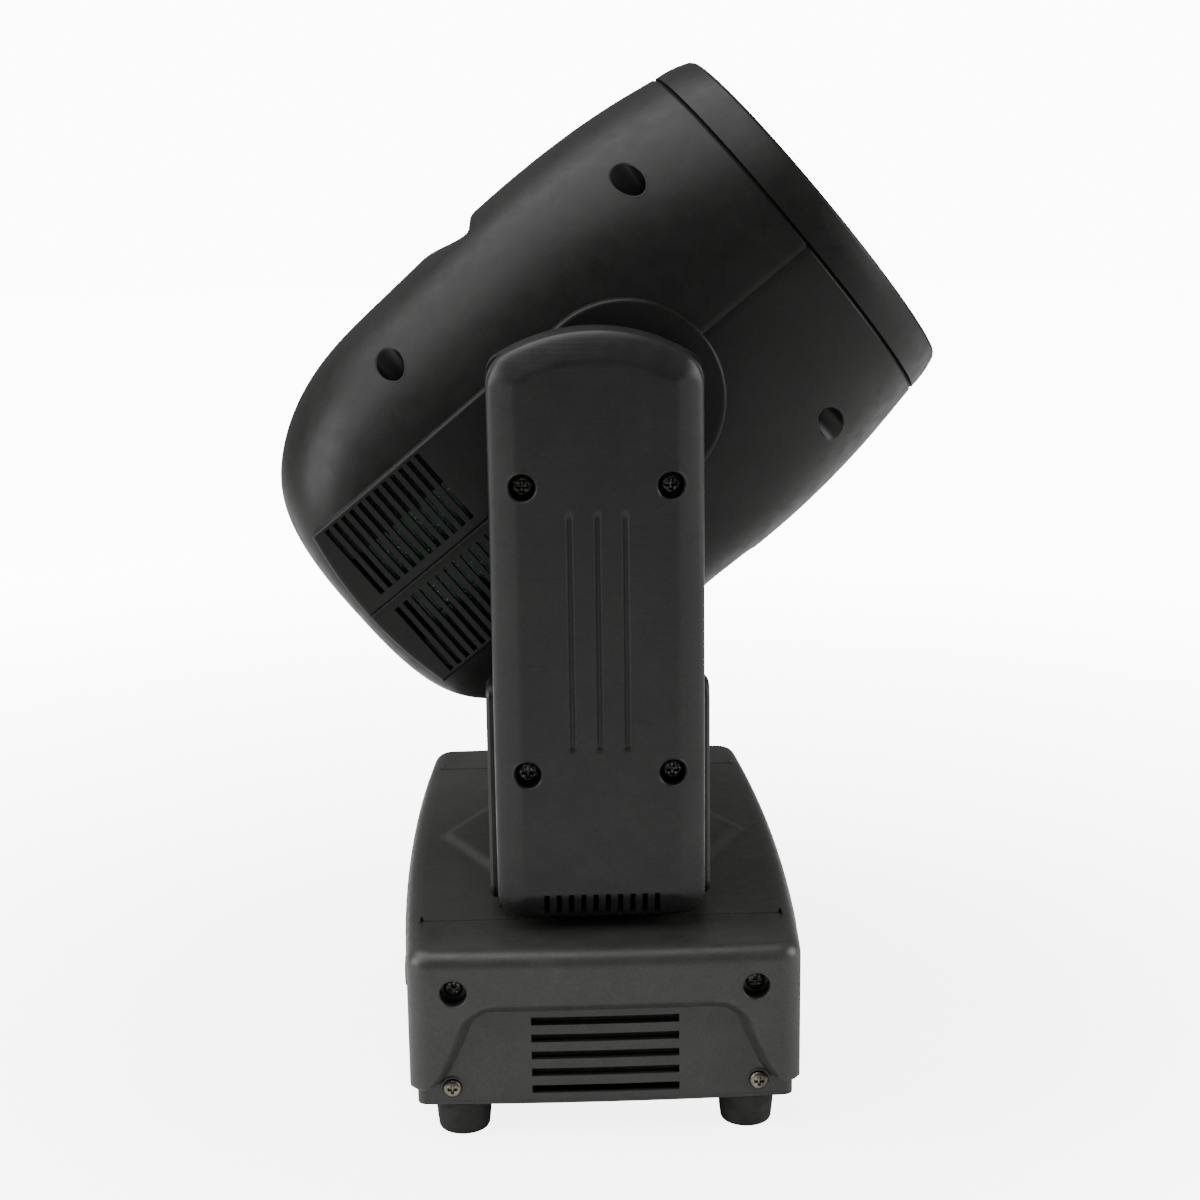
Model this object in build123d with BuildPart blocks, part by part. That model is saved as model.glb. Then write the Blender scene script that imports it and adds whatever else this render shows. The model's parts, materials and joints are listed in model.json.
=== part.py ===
"""Moving head light: base, yoke that pans on the base, head that tilts in the yoke.

Millimetres, +Z up. The origin is the middle of the base on the plane that the feet stand on.
The pan axis is the Z axis. The tilt axis runs along Y at TILT_Z. At rest the head leans towards +X.
"""
from build123d import *
from math import asin, cos, radians, sin
import os

os.makedirs("parts", exist_ok=True)

# ---- driving dimensions -------------------------------------------------------------------
GAP = 0.3                 # clearance between pieces that move past each other
FIT = 0.05                # radial running fit of a shaft in its bearing

FOOT_H = 17.0
BASE_L = 345.0            # along Y
BASE_W_END = 190.0        # across X at the two ends
SIDE_BOW = 6.5            # how far each long side bows out at mid-length
END_BOW = 2.5             # how far each end bows out at its middle
CAP_WALL = 3.0            # thickness of the end caps and side panels
CAP_END_WALL = 8.0        # thickness of an end cap's arched face
CASE_Z = FOOT_H           # underside of the base
PLATE_Z = 98.0            # top of the base
CAP_L = 47.0              # length of each end cap along Y
PAD_H = 3.0               # height of the turntable pad on the base

YOKE_Z = PLATE_Z + PAD_H + 2.5
ARM_OUT = 146.0           # outer face of each arm from the pan axis
ARM_IN = 105.0            # inner face of each arm from the pan axis
ARM_W = 102.0
ARM_TOP = 391.0
ARM_SHOULDER = 375.0      # height at which the arm's arched top starts
ARM_SPLIT = 124.0         # where the outer and inner arm covers meet
WALL = 2.5                # moulded wall of the covers
CROSS_TOP = 150.0         # top of the yoke's cross-member

TILT_Z = 340.0
REST_LEAN = 50.3          # degrees from straight up to the head's axis at rest
HEAD_FLAT = 102.0         # the head's flattened sides, from the mid-plane
HEAD_WALL = 3.0
RING_BACK = 136.0         # where the front ring meets the shells, along the head's axis
RING_FRONT = 155.5

HUB_R = 18.0
HUB_BORE_R = 11.0
PAN_SHAFT_R = 27.0
PAN_SHAFT_BORE_R = 21.0

# ---- shared planes --------------------------------------------------------------------------
lean = radians(REST_LEAN)
HEAD_DIR = (sin(lean), 0, cos(lean))
HEAD_UP = (-cos(lean), 0, sin(lean))
TILT = (0, 0, TILT_Z)
HEAD = Plane(origin=TILT, x_dir=(0, 1, 0), z_dir=HEAD_DIR)        # across the head, looking from its front
HEAD_MID = Plane(origin=TILT, x_dir=HEAD_DIR, z_dir=(0, -1, 0))   # along the head, across the tilt axis
HEAD_SPLIT = Plane(origin=TILT, x_dir=HEAD_DIR, z_dir=HEAD_UP)    # where the two shells meet
HEAD_AXIS = Axis(TILT, HEAD_DIR)


def save(part, name):
    """Label a finished piece and write it."""
    part.part.label = name
    export_step(part.part, f"parts/{name}.step")


def base_outline(inset=0.0, end_inset=None):
    """Plan of the base: four shallow arcs with rounded corners, moved in by inset."""
    hx = BASE_W_END / 2 - inset
    hy = BASE_L / 2 - (inset if end_inset is None else end_inset)
    corner_y = hy - END_BOW
    with BuildSketch(Plane.XY) as plan:
        with BuildLine():
            ThreePointArc((hx, -corner_y), (hx + SIDE_BOW, 0), (hx, corner_y))
            ThreePointArc((hx, corner_y), (0, hy), (-hx, corner_y))
            ThreePointArc((-hx, corner_y), (-hx - SIDE_BOW, 0), (-hx, -corner_y))
            ThreePointArc((-hx, -corner_y), (0, -hy), (hx, -corner_y))
        make_face()
        fillet(vertices(), 8 - min(inset, 5))
    return plan.sketch


def arm_outline(inset=0.0, bottom=YOKE_Z, bottom_r=12.0):
    """Front view of an arm: straight sides, arched top, rounded corners, moved in by inset."""
    half = ARM_W / 2 - inset
    with BuildSketch(Plane.XY) as front:
        with BuildLine():
            Polyline((half, ARM_SHOULDER - inset), (half, bottom + inset),
                     (-half, bottom + inset), (-half, ARM_SHOULDER - inset))
            ThreePointArc((-half, ARM_SHOULDER - inset), (0, ARM_TOP - inset), (half, ARM_SHOULDER - inset))
        make_face()
        fillet(vertices().group_by(Axis.Y)[-1], 9)
        if bottom_r > 0:
            fillet(vertices().group_by(Axis.Y)[0], bottom_r)
    return front.sketch


def side_plane(y):
    """A vertical plane across Y whose normal points away from the middle; local x is X, y is Z."""
    if y < 0:
        return Plane(origin=(0, y, 0), x_dir=(1, 0, 0), z_dir=(0, -1, 0))
    return Plane(origin=(0, y, 0), x_dir=(-1, 0, 0), z_dir=(0, 1, 0))


def both_ends(plane_y):
    """Yield near and far with the matching plane at plane_y from the middle."""
    return [("near", side_plane(-plane_y), -1), ("far", side_plane(plane_y), 1)]


# ==== BASE ===================================================================================
CASE_INSET = CAP_WALL + 0.1
CASE_END_INSET = CAP_END_WALL + 0.1
CASE_TOP = 92.0
SLOT_COUNT = 5
SLOT_PITCH = 8.9
SLOT_H = 4.0
SLOT_W = 72.0
SLOT_Z = 24.5
CAP_SPOTS = [(-73.0, 80.0), (73.0, 80.0)]       # across X and up Z
CASE_SPOTS = [(-75.0, 26.0), (75.0, 26.0)]
SIDE_OPEN_W = 222.0
SIDE_OPEN_H = 62.0
BRACKET_X = 106.0             # spacing of the quarter-turn bracket sockets
BRACKET_Y = 190.0
BRACKET_R = 4.2
FOOT_X = 70.0
FOOT_Y = 149.0

with BuildPart() as lower_case:
    with BuildSketch(Plane.XY.offset(CASE_Z + 2)):
        add(base_outline(CASE_INSET, CASE_END_INSET))
    extrude(amount=CASE_TOP - CASE_Z - 2)
    with BuildSketch(Plane.XY.offset(CASE_Z + 2)):
        add(base_outline(CASE_INSET + WALL, CASE_END_INSET + WALL))
    extrude(amount=CASE_TOP, mode=Mode.SUBTRACT)
    for end, plane, way in both_ends(BASE_L / 2):
        with BuildSketch(plane):
            with Locations((0, SLOT_Z + (SLOT_COUNT - 1) * SLOT_PITCH / 2)):
                with GridLocations(0, SLOT_PITCH, 1, SLOT_COUNT):
                    Rectangle(SLOT_W, SLOT_H)
            with Locations(*CAP_SPOTS, *CASE_SPOTS):
                Circle(2.1)
        extrude(amount=-20, mode=Mode.SUBTRACT)
    # window for the display on one side and for the sockets on the other
    with BuildSketch(Plane.YZ):
        with Locations((0, 56)):
            Rectangle(SIDE_OPEN_W, SIDE_OPEN_H)
    extrude(amount=120, both=True, mode=Mode.SUBTRACT)
save(lower_case, "lower_case")

with BuildPart() as bottom_plate:
    with BuildSketch(Plane.XY.offset(CASE_Z)):
        add(base_outline(CASE_INSET, CASE_END_INSET))
        with GridLocations(BRACKET_X, BRACKET_Y, 2, 2):
            Circle(8, mode=Mode.SUBTRACT)
        with GridLocations(2 * FOOT_X, 2 * FOOT_Y, 2, 2):
            Circle(2.1, mode=Mode.SUBTRACT)
        Rectangle(31, 4.2, mode=Mode.SUBTRACT)
    extrude(amount=2)
save(bottom_plate, "bottom_plate")

with BuildPart() as bracket_sockets:
    for spot in GridLocations(BRACKET_X, BRACKET_Y, 2, 2).locations:
        with BuildSketch(Plane.XY.offset(CASE_Z)):
            with Locations(spot.position):
                Circle(7.95)
                Circle(BRACKET_R, mode=Mode.SUBTRACT)
        extrude(amount=14)
        with BuildSketch(Plane.XY.offset(CASE_Z + 2)):
            with Locations(spot.position):
                Circle(12)
                Circle(BRACKET_R, mode=Mode.SUBTRACT)
        extrude(amount=2)
save(bracket_sockets, "bracket_sockets")

with BuildPart() as feet:
    for spot in GridLocations(2 * FOOT_X, 2 * FOOT_Y, 2, 2).locations:
        with BuildSketch(Plane.XY.offset(CASE_Z)):
            with Locations(spot.position):
                Circle(14)
        extrude(amount=-FOOT_H, taper=5)
        with BuildSketch(Plane.XY.offset(CASE_Z)):
            with Locations(spot.position):
                Circle(2.05)
        extrude(amount=6)
        with BuildSketch(Plane.XY):
            with Locations(spot.position):
                Circle(5.5)
        extrude(amount=6, mode=Mode.SUBTRACT)
    fillet(edges().filter_by(GeomType.CIRCLE).group_by(Axis.Z)[0].group_by(SortBy.LENGTH)[-1], 1.5)
save(feet, "feet")

with BuildPart() as top_cover:
    with BuildSketch(Plane.XY.offset(CASE_TOP)):
        add(base_outline())
    extrude(amount=PLATE_Z - CASE_TOP)
    chamfer(edges().group_by(Axis.Z)[-1], 5)
    with BuildSketch(Plane.XY.offset(CASE_TOP)):
        Rectangle(2 * BASE_W_END, BASE_L - 2 * CAP_L - 0.2)
    extrude(amount=20, mode=Mode.INTERSECT)
    # turntable pad under the yoke, with sloping sides
    with BuildSketch(Plane.XY.offset(PLATE_Z)):
        Polygon((86, 0), (42, 88), (-42, 88), (-86, 0), (-42, -88), (42, -88))
        fillet(vertices(), 10)
    extrude(amount=PAD_H, taper=62)
    with BuildSketch(Plane.XY.offset(CASE_TOP)):
        Rectangle(BASE_W_END - 20, BASE_L - 2 * CAP_L - 20)
    extrude(amount=3, mode=Mode.SUBTRACT)
    with BuildSketch(Plane.XY.offset(CASE_TOP)):
        Circle(31)
    extrude(amount=20, mode=Mode.SUBTRACT)
save(top_cover, "top_cover")

for end, plane, way in both_ends(BASE_L / 2):
    with BuildPart() as end_cap:
        with BuildSketch(Plane.XY.offset(27)):
            add(base_outline())
        extrude(amount=PLATE_Z - 27)
        fillet(edges().group_by(Axis.Z)[-1], 9)
        with BuildSketch(Plane.XY.offset(20)):
            add(base_outline(CAP_WALL, CAP_END_WALL))
        extrude(amount=CASE_TOP - 20, mode=Mode.SUBTRACT)
        # keep one end of the ring
        with BuildSketch(Plane.XY.offset(20)):
            with Locations((0, way * (BASE_L / 2 - CAP_L / 2 + 10))):
                Rectangle(2 * BASE_W_END, CAP_L + 20)
        extrude(amount=100, mode=Mode.INTERSECT)
        # arch between the two legs, its edge sloping back to the case
        with BuildSketch(plane.offset(1)):
            with BuildLine():
                Polyline((-103, 8), (-83, 35), (-75, 52), (-68, 72),
                         (68, 72), (75, 52), (83, 35), (103, 8), close=True)
            make_face()
            fillet(vertices().group_by(Axis.Y)[-1], 12)
        extrude(amount=-CAP_END_WALL - 4, taper=34, mode=Mode.SUBTRACT)
        with BuildSketch(plane.offset(1)):
            with Locations(*CAP_SPOTS):
                Circle(7.2)
        extrude(amount=-6, mode=Mode.SUBTRACT)
        with BuildSketch(plane.offset(1)):
            with Locations(*CAP_SPOTS):
                Circle(2.1)
        extrude(amount=-20, mode=Mode.SUBTRACT)
    save(end_cap, f"end_cap_{end}")


def side_strip(side, half_len):
    """Plan of the base's side wall between the end caps, on one side."""
    with BuildSketch(Plane.XY) as strip:
        add(base_outline())
        add(base_outline(CAP_WALL), mode=Mode.SUBTRACT)
        with Locations((side * BASE_W_END / 2, 0)):
            Rectangle(60, 2 * half_len, mode=Mode.INTERSECT)
    return strip.sketch


PANEL_HALF = BASE_L / 2 - CAP_L - 0.1
X_SIDE = BASE_W_END / 2 + SIDE_BOW      # outermost face of a side panel at mid-length
DISPLAY_Z = 60.0
WINDOW_W = 62.0
WINDOW_H = 34.0
WINDOW_Y = -34.0
BUTTON_R = 6.0
BUTTON_Y = 46.0
BUTTON_PITCH = 21.0
FRONT = Plane.YZ.offset(X_SIDE - 20)    # faces +X: local x is Y, local y is Z
REAR = Plane(origin=(-X_SIDE + 20, 0, 0), x_dir=(0, -1, 0), z_dir=(-1, 0, 0))
BUTTON_SPOTS = [(BUTTON_Y - BUTTON_PITCH / 2, DISPLAY_Z + BUTTON_PITCH / 2),
                (BUTTON_Y + BUTTON_PITCH / 2, DISPLAY_Z + BUTTON_PITCH / 2),
                (BUTTON_Y - BUTTON_PITCH / 2, DISPLAY_Z - BUTTON_PITCH / 2),
                (BUTTON_Y + BUTTON_PITCH / 2, DISPLAY_Z - BUTTON_PITCH / 2)]

with BuildPart() as display_panel:
    with BuildSketch(Plane.XY.offset(CASE_Z + 2)):
        add(side_strip(1, PANEL_HALF))
    extrude(amount=CASE_TOP - 0.1 - CASE_Z - 2)
    with BuildSketch(FRONT):
        with Locations((WINDOW_Y, DISPLAY_Z)):
            Rectangle(WINDOW_W, WINDOW_H)
        with Locations(*BUTTON_SPOTS):
            Circle(BUTTON_R + GAP)
    extrude(amount=40, mode=Mode.SUBTRACT)
save(display_panel, "display_panel")

with BuildPart() as display_window:
    with BuildSketch(FRONT.offset(16.2)):
        with Locations((WINDOW_Y, DISPLAY_Z)):
            RectangleRounded(WINDOW_W - 0.4, WINDOW_H - 0.4, 1)
    extrude(amount=2)
save(display_window, "display_window")

with BuildPart() as display_board:
    with BuildSketch(FRONT.offset(8)):
        with Locations((8, DISPLAY_Z)):
            Rectangle(150, 48)
    extrude(amount=1.6)
    with BuildSketch(FRONT.offset(9.6)):
        with Locations((WINDOW_Y, DISPLAY_Z)):
            Rectangle(58, 30)
    extrude(amount=5)
    for spot in BUTTON_SPOTS:
        with BuildSketch(FRONT.offset(9.6)):
            with Locations(spot):
                Rectangle(6, 6)
        extrude(amount=2.2)
save(display_board, "display_board")

for number, spot in enumerate(BUTTON_SPOTS, 1):
    with BuildPart() as menu_button:
        with BuildSketch(FRONT.offset(14)):
            with Locations(spot):
                Circle(BUTTON_R)
        extrude(amount=8)
        fillet(edges().group_by(Axis.X)[-1], 1)
        with BuildSketch(FRONT.offset(14)):
            with Locations(spot):
                Circle(BUTTON_R + 1.5)
        extrude(amount=1.2)
    save(menu_button, f"menu_button_{number}")

# sockets on the other side: power in and out, data in and out, fuse
SOCKET_Z = 60.0
POWER_Y = (66.0, 26.0)
DATA_Y = (-16.0, -54.0)
FUSE_Y = 96.0
PLATE_W = 209.0
PLATE_H = 51.0
POWER_R = 10.6
DATA_R = 9.4

with BuildPart() as connector_panel:
    with BuildSketch(Plane.XY.offset(CASE_Z + 2)):
        add(side_strip(-1, PANEL_HALF))
    extrude(amount=CASE_TOP - 0.1 - CASE_Z - 2)
    # a flat plate behind the curved wall carries the sockets
    with BuildSketch(REAR.offset(13.5)):
        with Locations((0, DISPLAY_Z - 4)):
            Rectangle(PLATE_W, PLATE_H)
    extrude(amount=30, mode=Mode.SUBTRACT)
    with BuildSketch(REAR.offset(14)):
        with Locations((0, DISPLAY_Z - 4)):
            Rectangle(PLATE_W + 7, PLATE_H + 7)
    extrude(amount=2)
    with BuildSketch(REAR.offset(16)):
        with Locations((0, DISPLAY_Z - 4)):
            Rectangle(PLATE_W + 7, PLATE_H + 7)
            Rectangle(PLATE_W, PLATE_H, mode=Mode.SUBTRACT)
    extrude(amount=1.3)
    with BuildSketch(REAR.offset(10)):
        with Locations((POWER_Y[0], SOCKET_Z), (POWER_Y[1], SOCKET_Z)):
            Circle(12.6)
        with Locations((DATA_Y[0], SOCKET_Z), (DATA_Y[1], SOCKET_Z)):
            Circle(10.6)
        with Locations((FUSE_Y, SOCKET_Z)):
            Circle(6.1)
    extrude(amount=20, mode=Mode.SUBTRACT)
save(connector_panel, "connector_panel")


def panel_socket(spots, barrel_r, well_r):
    """Square-flanged panel sockets: flange outside the plate, barrel through it, blind well."""
    with BuildPart() as socket:
        with BuildSketch(REAR.offset(16)):
            with Locations(*spots):
                RectangleRounded(27, 32, 3)
        extrude(amount=2)
        with BuildSketch(REAR.offset(-8)):
            with Locations(*spots):
                Circle(barrel_r)
        extrude(amount=24.5)
        with BuildSketch(REAR.offset(20)):
            with Locations(*spots):
                Circle(well_r)
        extrude(amount=-21, mode=Mode.SUBTRACT)
    return socket.part


power_body = panel_socket([(y, SOCKET_Z) for y in POWER_Y], 12.5, POWER_R)
with BuildPart() as power_sockets:
    add(power_body)
    # round post with the contacts, set back in each well
    with BuildSketch(REAR.offset(-1.5)):
        with Locations(*[(y, SOCKET_Z) for y in POWER_Y]):
            Circle(6)
    extrude(amount=8)
save(power_sockets, "power_sockets")

data_body = panel_socket([(y, SOCKET_Z) for y in DATA_Y], 10.5, DATA_R)
with BuildPart() as data_sockets:
    add(data_body)
    for y in DATA_Y:
        with BuildSketch(REAR.offset(-1.5)):
            with Locations((y, SOCKET_Z)):
                with PolarLocations(3.6, 3, start_angle=90):
                    Circle(1.2)
        extrude(amount=8)
save(data_sockets, "data_sockets")

with BuildPart() as fuse_holder:
    with BuildSketch(REAR.offset(0)):
        with Locations((FUSE_Y, SOCKET_Z)):
            Circle(6)
    extrude(amount=16)
    with BuildSketch(REAR.offset(16)):
        with Locations((FUSE_Y, SOCKET_Z)):
            Circle(8)
    extrude(amount=3)
    with BuildSketch(REAR.offset(18.2)):
        with Locations((FUSE_Y, SOCKET_Z)):
            Rectangle(9, 1.6)
    extrude(amount=1, mode=Mode.SUBTRACT)
save(fuse_holder, "fuse_holder")

with BuildPart() as safety_eye:
    # steel loop under the base for the safety wire
    with BuildSketch(Plane.XZ):
        with BuildLine():
            eye_path = Polyline((-13, 19), (-13, 6), (13, 6), (13, 19))
        trace(eye_path, 3.6)
    extrude(amount=1.8, both=True)
    with BuildSketch(Plane.XY.offset(CASE_Z + 2)):
        Rectangle(44, 14)
    extrude(amount=2)
save(safety_eye, "safety_eye")

with BuildPart() as base_screws:
    for end, plane, way in both_ends(BASE_L / 2):
        for spots, depth in ((CAP_SPOTS, 5.0), (CASE_SPOTS, CASE_END_INSET + 1.45)):
            with BuildSketch(plane.offset(-depth)):
                with Locations(*spots):
                    Circle(3.6)
            extrude(amount=2.4)
            with BuildSketch(plane.offset(-depth)):
                with Locations(*spots):
                    Circle(2.0)
            extrude(amount=-9)
            with BuildSketch(plane.offset(-depth + 2.4)):
                with Locations(*spots):
                    Rectangle(4.4, 1.0)
                    Rectangle(1.0, 4.4)
            extrude(amount=-1.4, mode=Mode.SUBTRACT)
save(base_screws, "base_screws")

# ---- inside the base ------------------------------------------------------------------------
TURRET_Z = 58.0
TURRET_Y = 27.5
PAN_BEARING_R = 40.0
PAN_PULLEY_R = 52.0
PAN_PULLEY_Z = 76.0
PAN_MOTOR_Y = 104.0
SMALL_PULLEY_R = 9.0
BELT_T = 1.8
BELT_W = 9.0

with BuildPart() as turret_plate:
    with BuildSketch(Plane.XY.offset(TURRET_Z)):
        with Locations((0, TURRET_Y)):
            RectangleRounded(124, 205, 6)
        Circle(PAN_BEARING_R, mode=Mode.SUBTRACT)
        with Locations((0, PAN_MOTOR_Y)):
            Circle(11.1, mode=Mode.SUBTRACT)
    extrude(amount=3)
    with BuildSketch(Plane.XY.offset(CASE_Z + 2)):
        with Locations((0, TURRET_Y)):
            with GridLocations(112, 190, 2, 2):
                Circle(5)
    extrude(amount=TURRET_Z - CASE_Z - 2)
save(turret_plate, "turret_plate")

with BuildPart() as pan_bearing:
    with BuildSketch(Plane.XY.offset(TURRET_Z - 3)):
        Circle(PAN_BEARING_R)
        Circle(PAN_SHAFT_R + FIT, mode=Mode.SUBTRACT)
    extrude(amount=14)
    with BuildSketch(Plane.XY.offset(TURRET_Z + 3)):
        Circle(PAN_BEARING_R + 6)
        Circle(PAN_BEARING_R - 1, mode=Mode.SUBTRACT)
    extrude(amount=3)
save(pan_bearing, "pan_bearing")

with BuildPart() as pan_motor:
    with BuildSketch(Plane.XY.offset(TURRET_Z)):
        with Locations((0, PAN_MOTOR_Y)):
            Rectangle(42, 42)
            chamfer(vertices(), 4)
    extrude(amount=-36)
    with BuildSketch(Plane.XY.offset(TURRET_Z)):
        with Locations((0, PAN_MOTOR_Y)):
            Circle(11)
    extrude(amount=2)
    with BuildSketch(Plane.XY.offset(TURRET_Z + 2)):
        with Locations((0, PAN_MOTOR_Y)):
            Circle(2.5)
    extrude(amount=30)
save(pan_motor, "pan_motor")

with BuildPart() as pan_motor_pulley:
    with BuildSketch(Plane.XY.offset(PAN_PULLEY_Z - 2)):
        with Locations((0, PAN_MOTOR_Y)):
            Circle(SMALL_PULLEY_R + 2.5)
    extrude(amount=BELT_W + 4)
    with BuildSketch(Plane.XY.offset(PAN_PULLEY_Z - 0.5)):
        with Locations((0, PAN_MOTOR_Y)):
            Circle(SMALL_PULLEY_R + 4)
            Circle(SMALL_PULLEY_R, mode=Mode.SUBTRACT)
    extrude(amount=BELT_W + 1, mode=Mode.SUBTRACT)
    with BuildSketch(Plane.XY.offset(PAN_PULLEY_Z - 3)):
        with Locations((0, PAN_MOTOR_Y)):
            Circle(2.5 + FIT)
    extrude(amount=20, mode=Mode.SUBTRACT)
save(pan_motor_pulley, "pan_motor_pulley")


def belt_loop(centre_a, radius_a, centre_b, radius_b, gap):
    """Plan of a belt round two pulleys: two arcs joined by their outer tangents, gap clear of both."""
    a = Vector(*centre_a)
    b = Vector(*centre_b)
    heading = (b - a).normalized()
    normal_left = Vector(-heading.Y, heading.X)
    turn = asin((radius_a - radius_b) / (b - a).length)
    up = normal_left * cos(turn) + heading * sin(turn)
    down = normal_left * -cos(turn) + heading * sin(turn)
    with BuildSketch(Plane.XY) as loop:
        for extra, mode in ((gap + BELT_T, Mode.ADD), (gap, Mode.SUBTRACT)):
            ra = radius_a + extra
            rb = radius_b + extra
            with BuildLine():
                ThreePointArc(a + up * ra, a - heading * ra, a + down * ra)
                Line(a + down * ra, b + down * rb)
                ThreePointArc(b + down * rb, b + heading * rb, b + up * rb)
                Line(b + up * rb, a + up * ra)
            make_face(mode=mode)
    return loop.sketch


with BuildPart() as pan_belt:
    with BuildSketch(Plane.XY.offset(PAN_PULLEY_Z)):
        add(belt_loop((0, 0), PAN_PULLEY_R, (0, PAN_MOTOR_Y), SMALL_PULLEY_R, GAP))
    extrude(amount=BELT_W)
save(pan_belt, "pan_belt")

with BuildPart() as power_supply:
    with BuildSketch(Plane.XY.offset(CASE_Z + 16)):
        with Locations((0, -115)):
            RectangleRounded(140, 62, 2)
    extrude(amount=38)
    with BuildSketch(Plane.XY.offset(CASE_Z + 2)):
        with Locations((0, -117)):
            with GridLocations(30, 46, 2, 2):
                Circle(4)
    extrude(amount=14)
save(power_supply, "power_supply")

with BuildPart() as main_board:
    with BuildSketch(Plane.XY.offset(CASE_Z + 10)):
        Rectangle(136, 110)
    extrude(amount=1.6)
    with BuildSketch(Plane.XY.offset(CASE_Z + 11.6)):
        with GridLocations(40, 34, 3, 3):
            Rectangle(16, 11)
    extrude(amount=4)
    with BuildSketch(Plane.XY.offset(CASE_Z + 2)):
        with GridLocations(126, 100, 2, 2):
            Circle(3)
    extrude(amount=8)
save(main_board, "main_board")

# ==== YOKE ===================================================================================
ARM_PLATE = 122.0         # middle of each steel arm plate
PLATE_TOP = 372.0
ARM_SPOTS = [(x, z) for x in (-35.0, 35.0) for z in (178.8, 318.8)]     # cover screws
FRAME_Z = 106.8           # underside of the arm plates, on top of the yoke's base plate
FRAME_X = 44.0
TRIM_Y = 121.0
TRIM_TOP = 217.0
TRIM_T = 4.0
BELT_Y = 108.0
VENT_COUNT = 10
VENT_PITCH = 6.0
TILT_PULLEY_R = 34.0
TILT_MOTOR_Z = 205.0
BEARING_R = 26.0

def arm_block(face_y, inset, depth, slope_in, slope_down, bottom, bottom_r):
    """A solid arm of the given depth, the edges of its face at face_y sloped.

    A positive depth goes away from the middle of the yoke, a negative one towards it.
    """
    with BuildPart() as block:
        with BuildSketch(side_plane(face_y)):
            add(arm_outline(inset, bottom, bottom_r))
        extrude(amount=depth)
        rim = [f for f in faces() if abs(f.center().Y - face_y) < 0.01][0]
        chamfer(rim.edges(), slope_down, slope_in, reference=rim)
    return block.part


for end, plane, way in both_ends(ARM_OUT):
    depth = ARM_OUT - ARM_SPLIT
    shape = arm_block(way * ARM_OUT, 0, -depth, 13, 8, YOKE_Z, 12)
    hollow = arm_block(way * (ARM_OUT - WALL), WALL, -depth, 12, 7, YOKE_Z, 10)
    with BuildPart() as outer_cover:
        add(shape)
        add(hollow, mode=Mode.SUBTRACT)
        with BuildSketch(plane):
            with Locations((0, YOKE_Z)):
                with GridLocations(VENT_PITCH, 0, VENT_COUNT, 1):
                    Rectangle(2.5, 28)
        extrude(amount=-14, mode=Mode.SUBTRACT)
        # posts for the screws, each with a counterbore
        with BuildSketch(plane.offset(-3)):
            with Locations(*ARM_SPOTS):
                Circle(8.5)
        extrude(amount=-(depth - 6))
        with BuildSketch(plane):
            with Locations(*ARM_SPOTS):
                Circle(7.0)
        extrude(amount=-9, mode=Mode.SUBTRACT)
        with BuildSketch(plane):
            with Locations(*ARM_SPOTS):
                Circle(2.1)
        extrude(amount=-30, mode=Mode.SUBTRACT)
    save(outer_cover, f"arm_cover_outer_{end}")

for end, plane, way in both_ends(ARM_IN):
    depth = ARM_SPLIT - ARM_IN
    shape = arm_block(way * ARM_IN, 0, depth - 0.1, 5, 4, CROSS_TOP + 0.1, 0)
    hollow = arm_block(way * (ARM_IN + WALL), WALL, depth, 4.5, 3.5, CROSS_TOP - 8, 0)
    with BuildPart() as inner_cover:
        add(shape)
        add(hollow, mode=Mode.SUBTRACT)
        with BuildSketch(plane):
            with Locations((0, TILT_Z)):
                Circle(HUB_R + 2)
        extrude(amount=5, mode=Mode.SUBTRACT)
    save(inner_cover, f"arm_cover_inner_{end}")

with BuildPart() as arm_cover_screws:
    for end, plane, way in both_ends(ARM_OUT - 9):
        with BuildSketch(plane):
            with Locations(*ARM_SPOTS):
                Circle(4.0)
        extrude(amount=2.6)
        with BuildSketch(plane):
            with Locations(*ARM_SPOTS):
                Circle(2.0)
        extrude(amount=-12)
        with BuildSketch(plane.offset(2.6)):
            with Locations(*ARM_SPOTS):
                Rectangle(4.8, 1.1)
                Rectangle(1.1, 4.8)
        extrude(amount=-1.5, mode=Mode.SUBTRACT)
save(arm_cover_screws, "arm_cover_screws")

with BuildPart() as arm_plates:
    for end, plane, way in both_ends(ARM_PLATE):
        with BuildSketch(plane.offset(-1.5)):
            with Locations((0, (FRAME_Z + PLATE_TOP) / 2)):
                RectangleRounded(2 * FRAME_X, PLATE_TOP - FRAME_Z, 18)
            with Locations((0, FRAME_Z + 20)):
                Rectangle(2 * FRAME_X, 40)
            with Locations((0, TILT_Z)):
                Circle(BEARING_R, mode=Mode.SUBTRACT)
            with Locations((0, TILT_MOTOR_Z)):
                Circle(12, mode=Mode.SUBTRACT)
            with Locations(*ARM_SPOTS):
                Circle(2.1, mode=Mode.SUBTRACT)
        extrude(amount=3)
save(arm_plates, "yoke_arm_plates")

with BuildPart() as yoke_base_plate:
    with BuildSketch(Plane.XY.offset(FRAME_Z - 3)):
        Rectangle(2 * FRAME_X, 2 * ARM_PLATE + 3)
        Circle(PAN_SHAFT_BORE_R, mode=Mode.SUBTRACT)
        with PolarLocations(33, 6):
            Circle(2.5, mode=Mode.SUBTRACT)
    extrude(amount=3)
save(yoke_base_plate, "yoke_base_plate")

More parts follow.
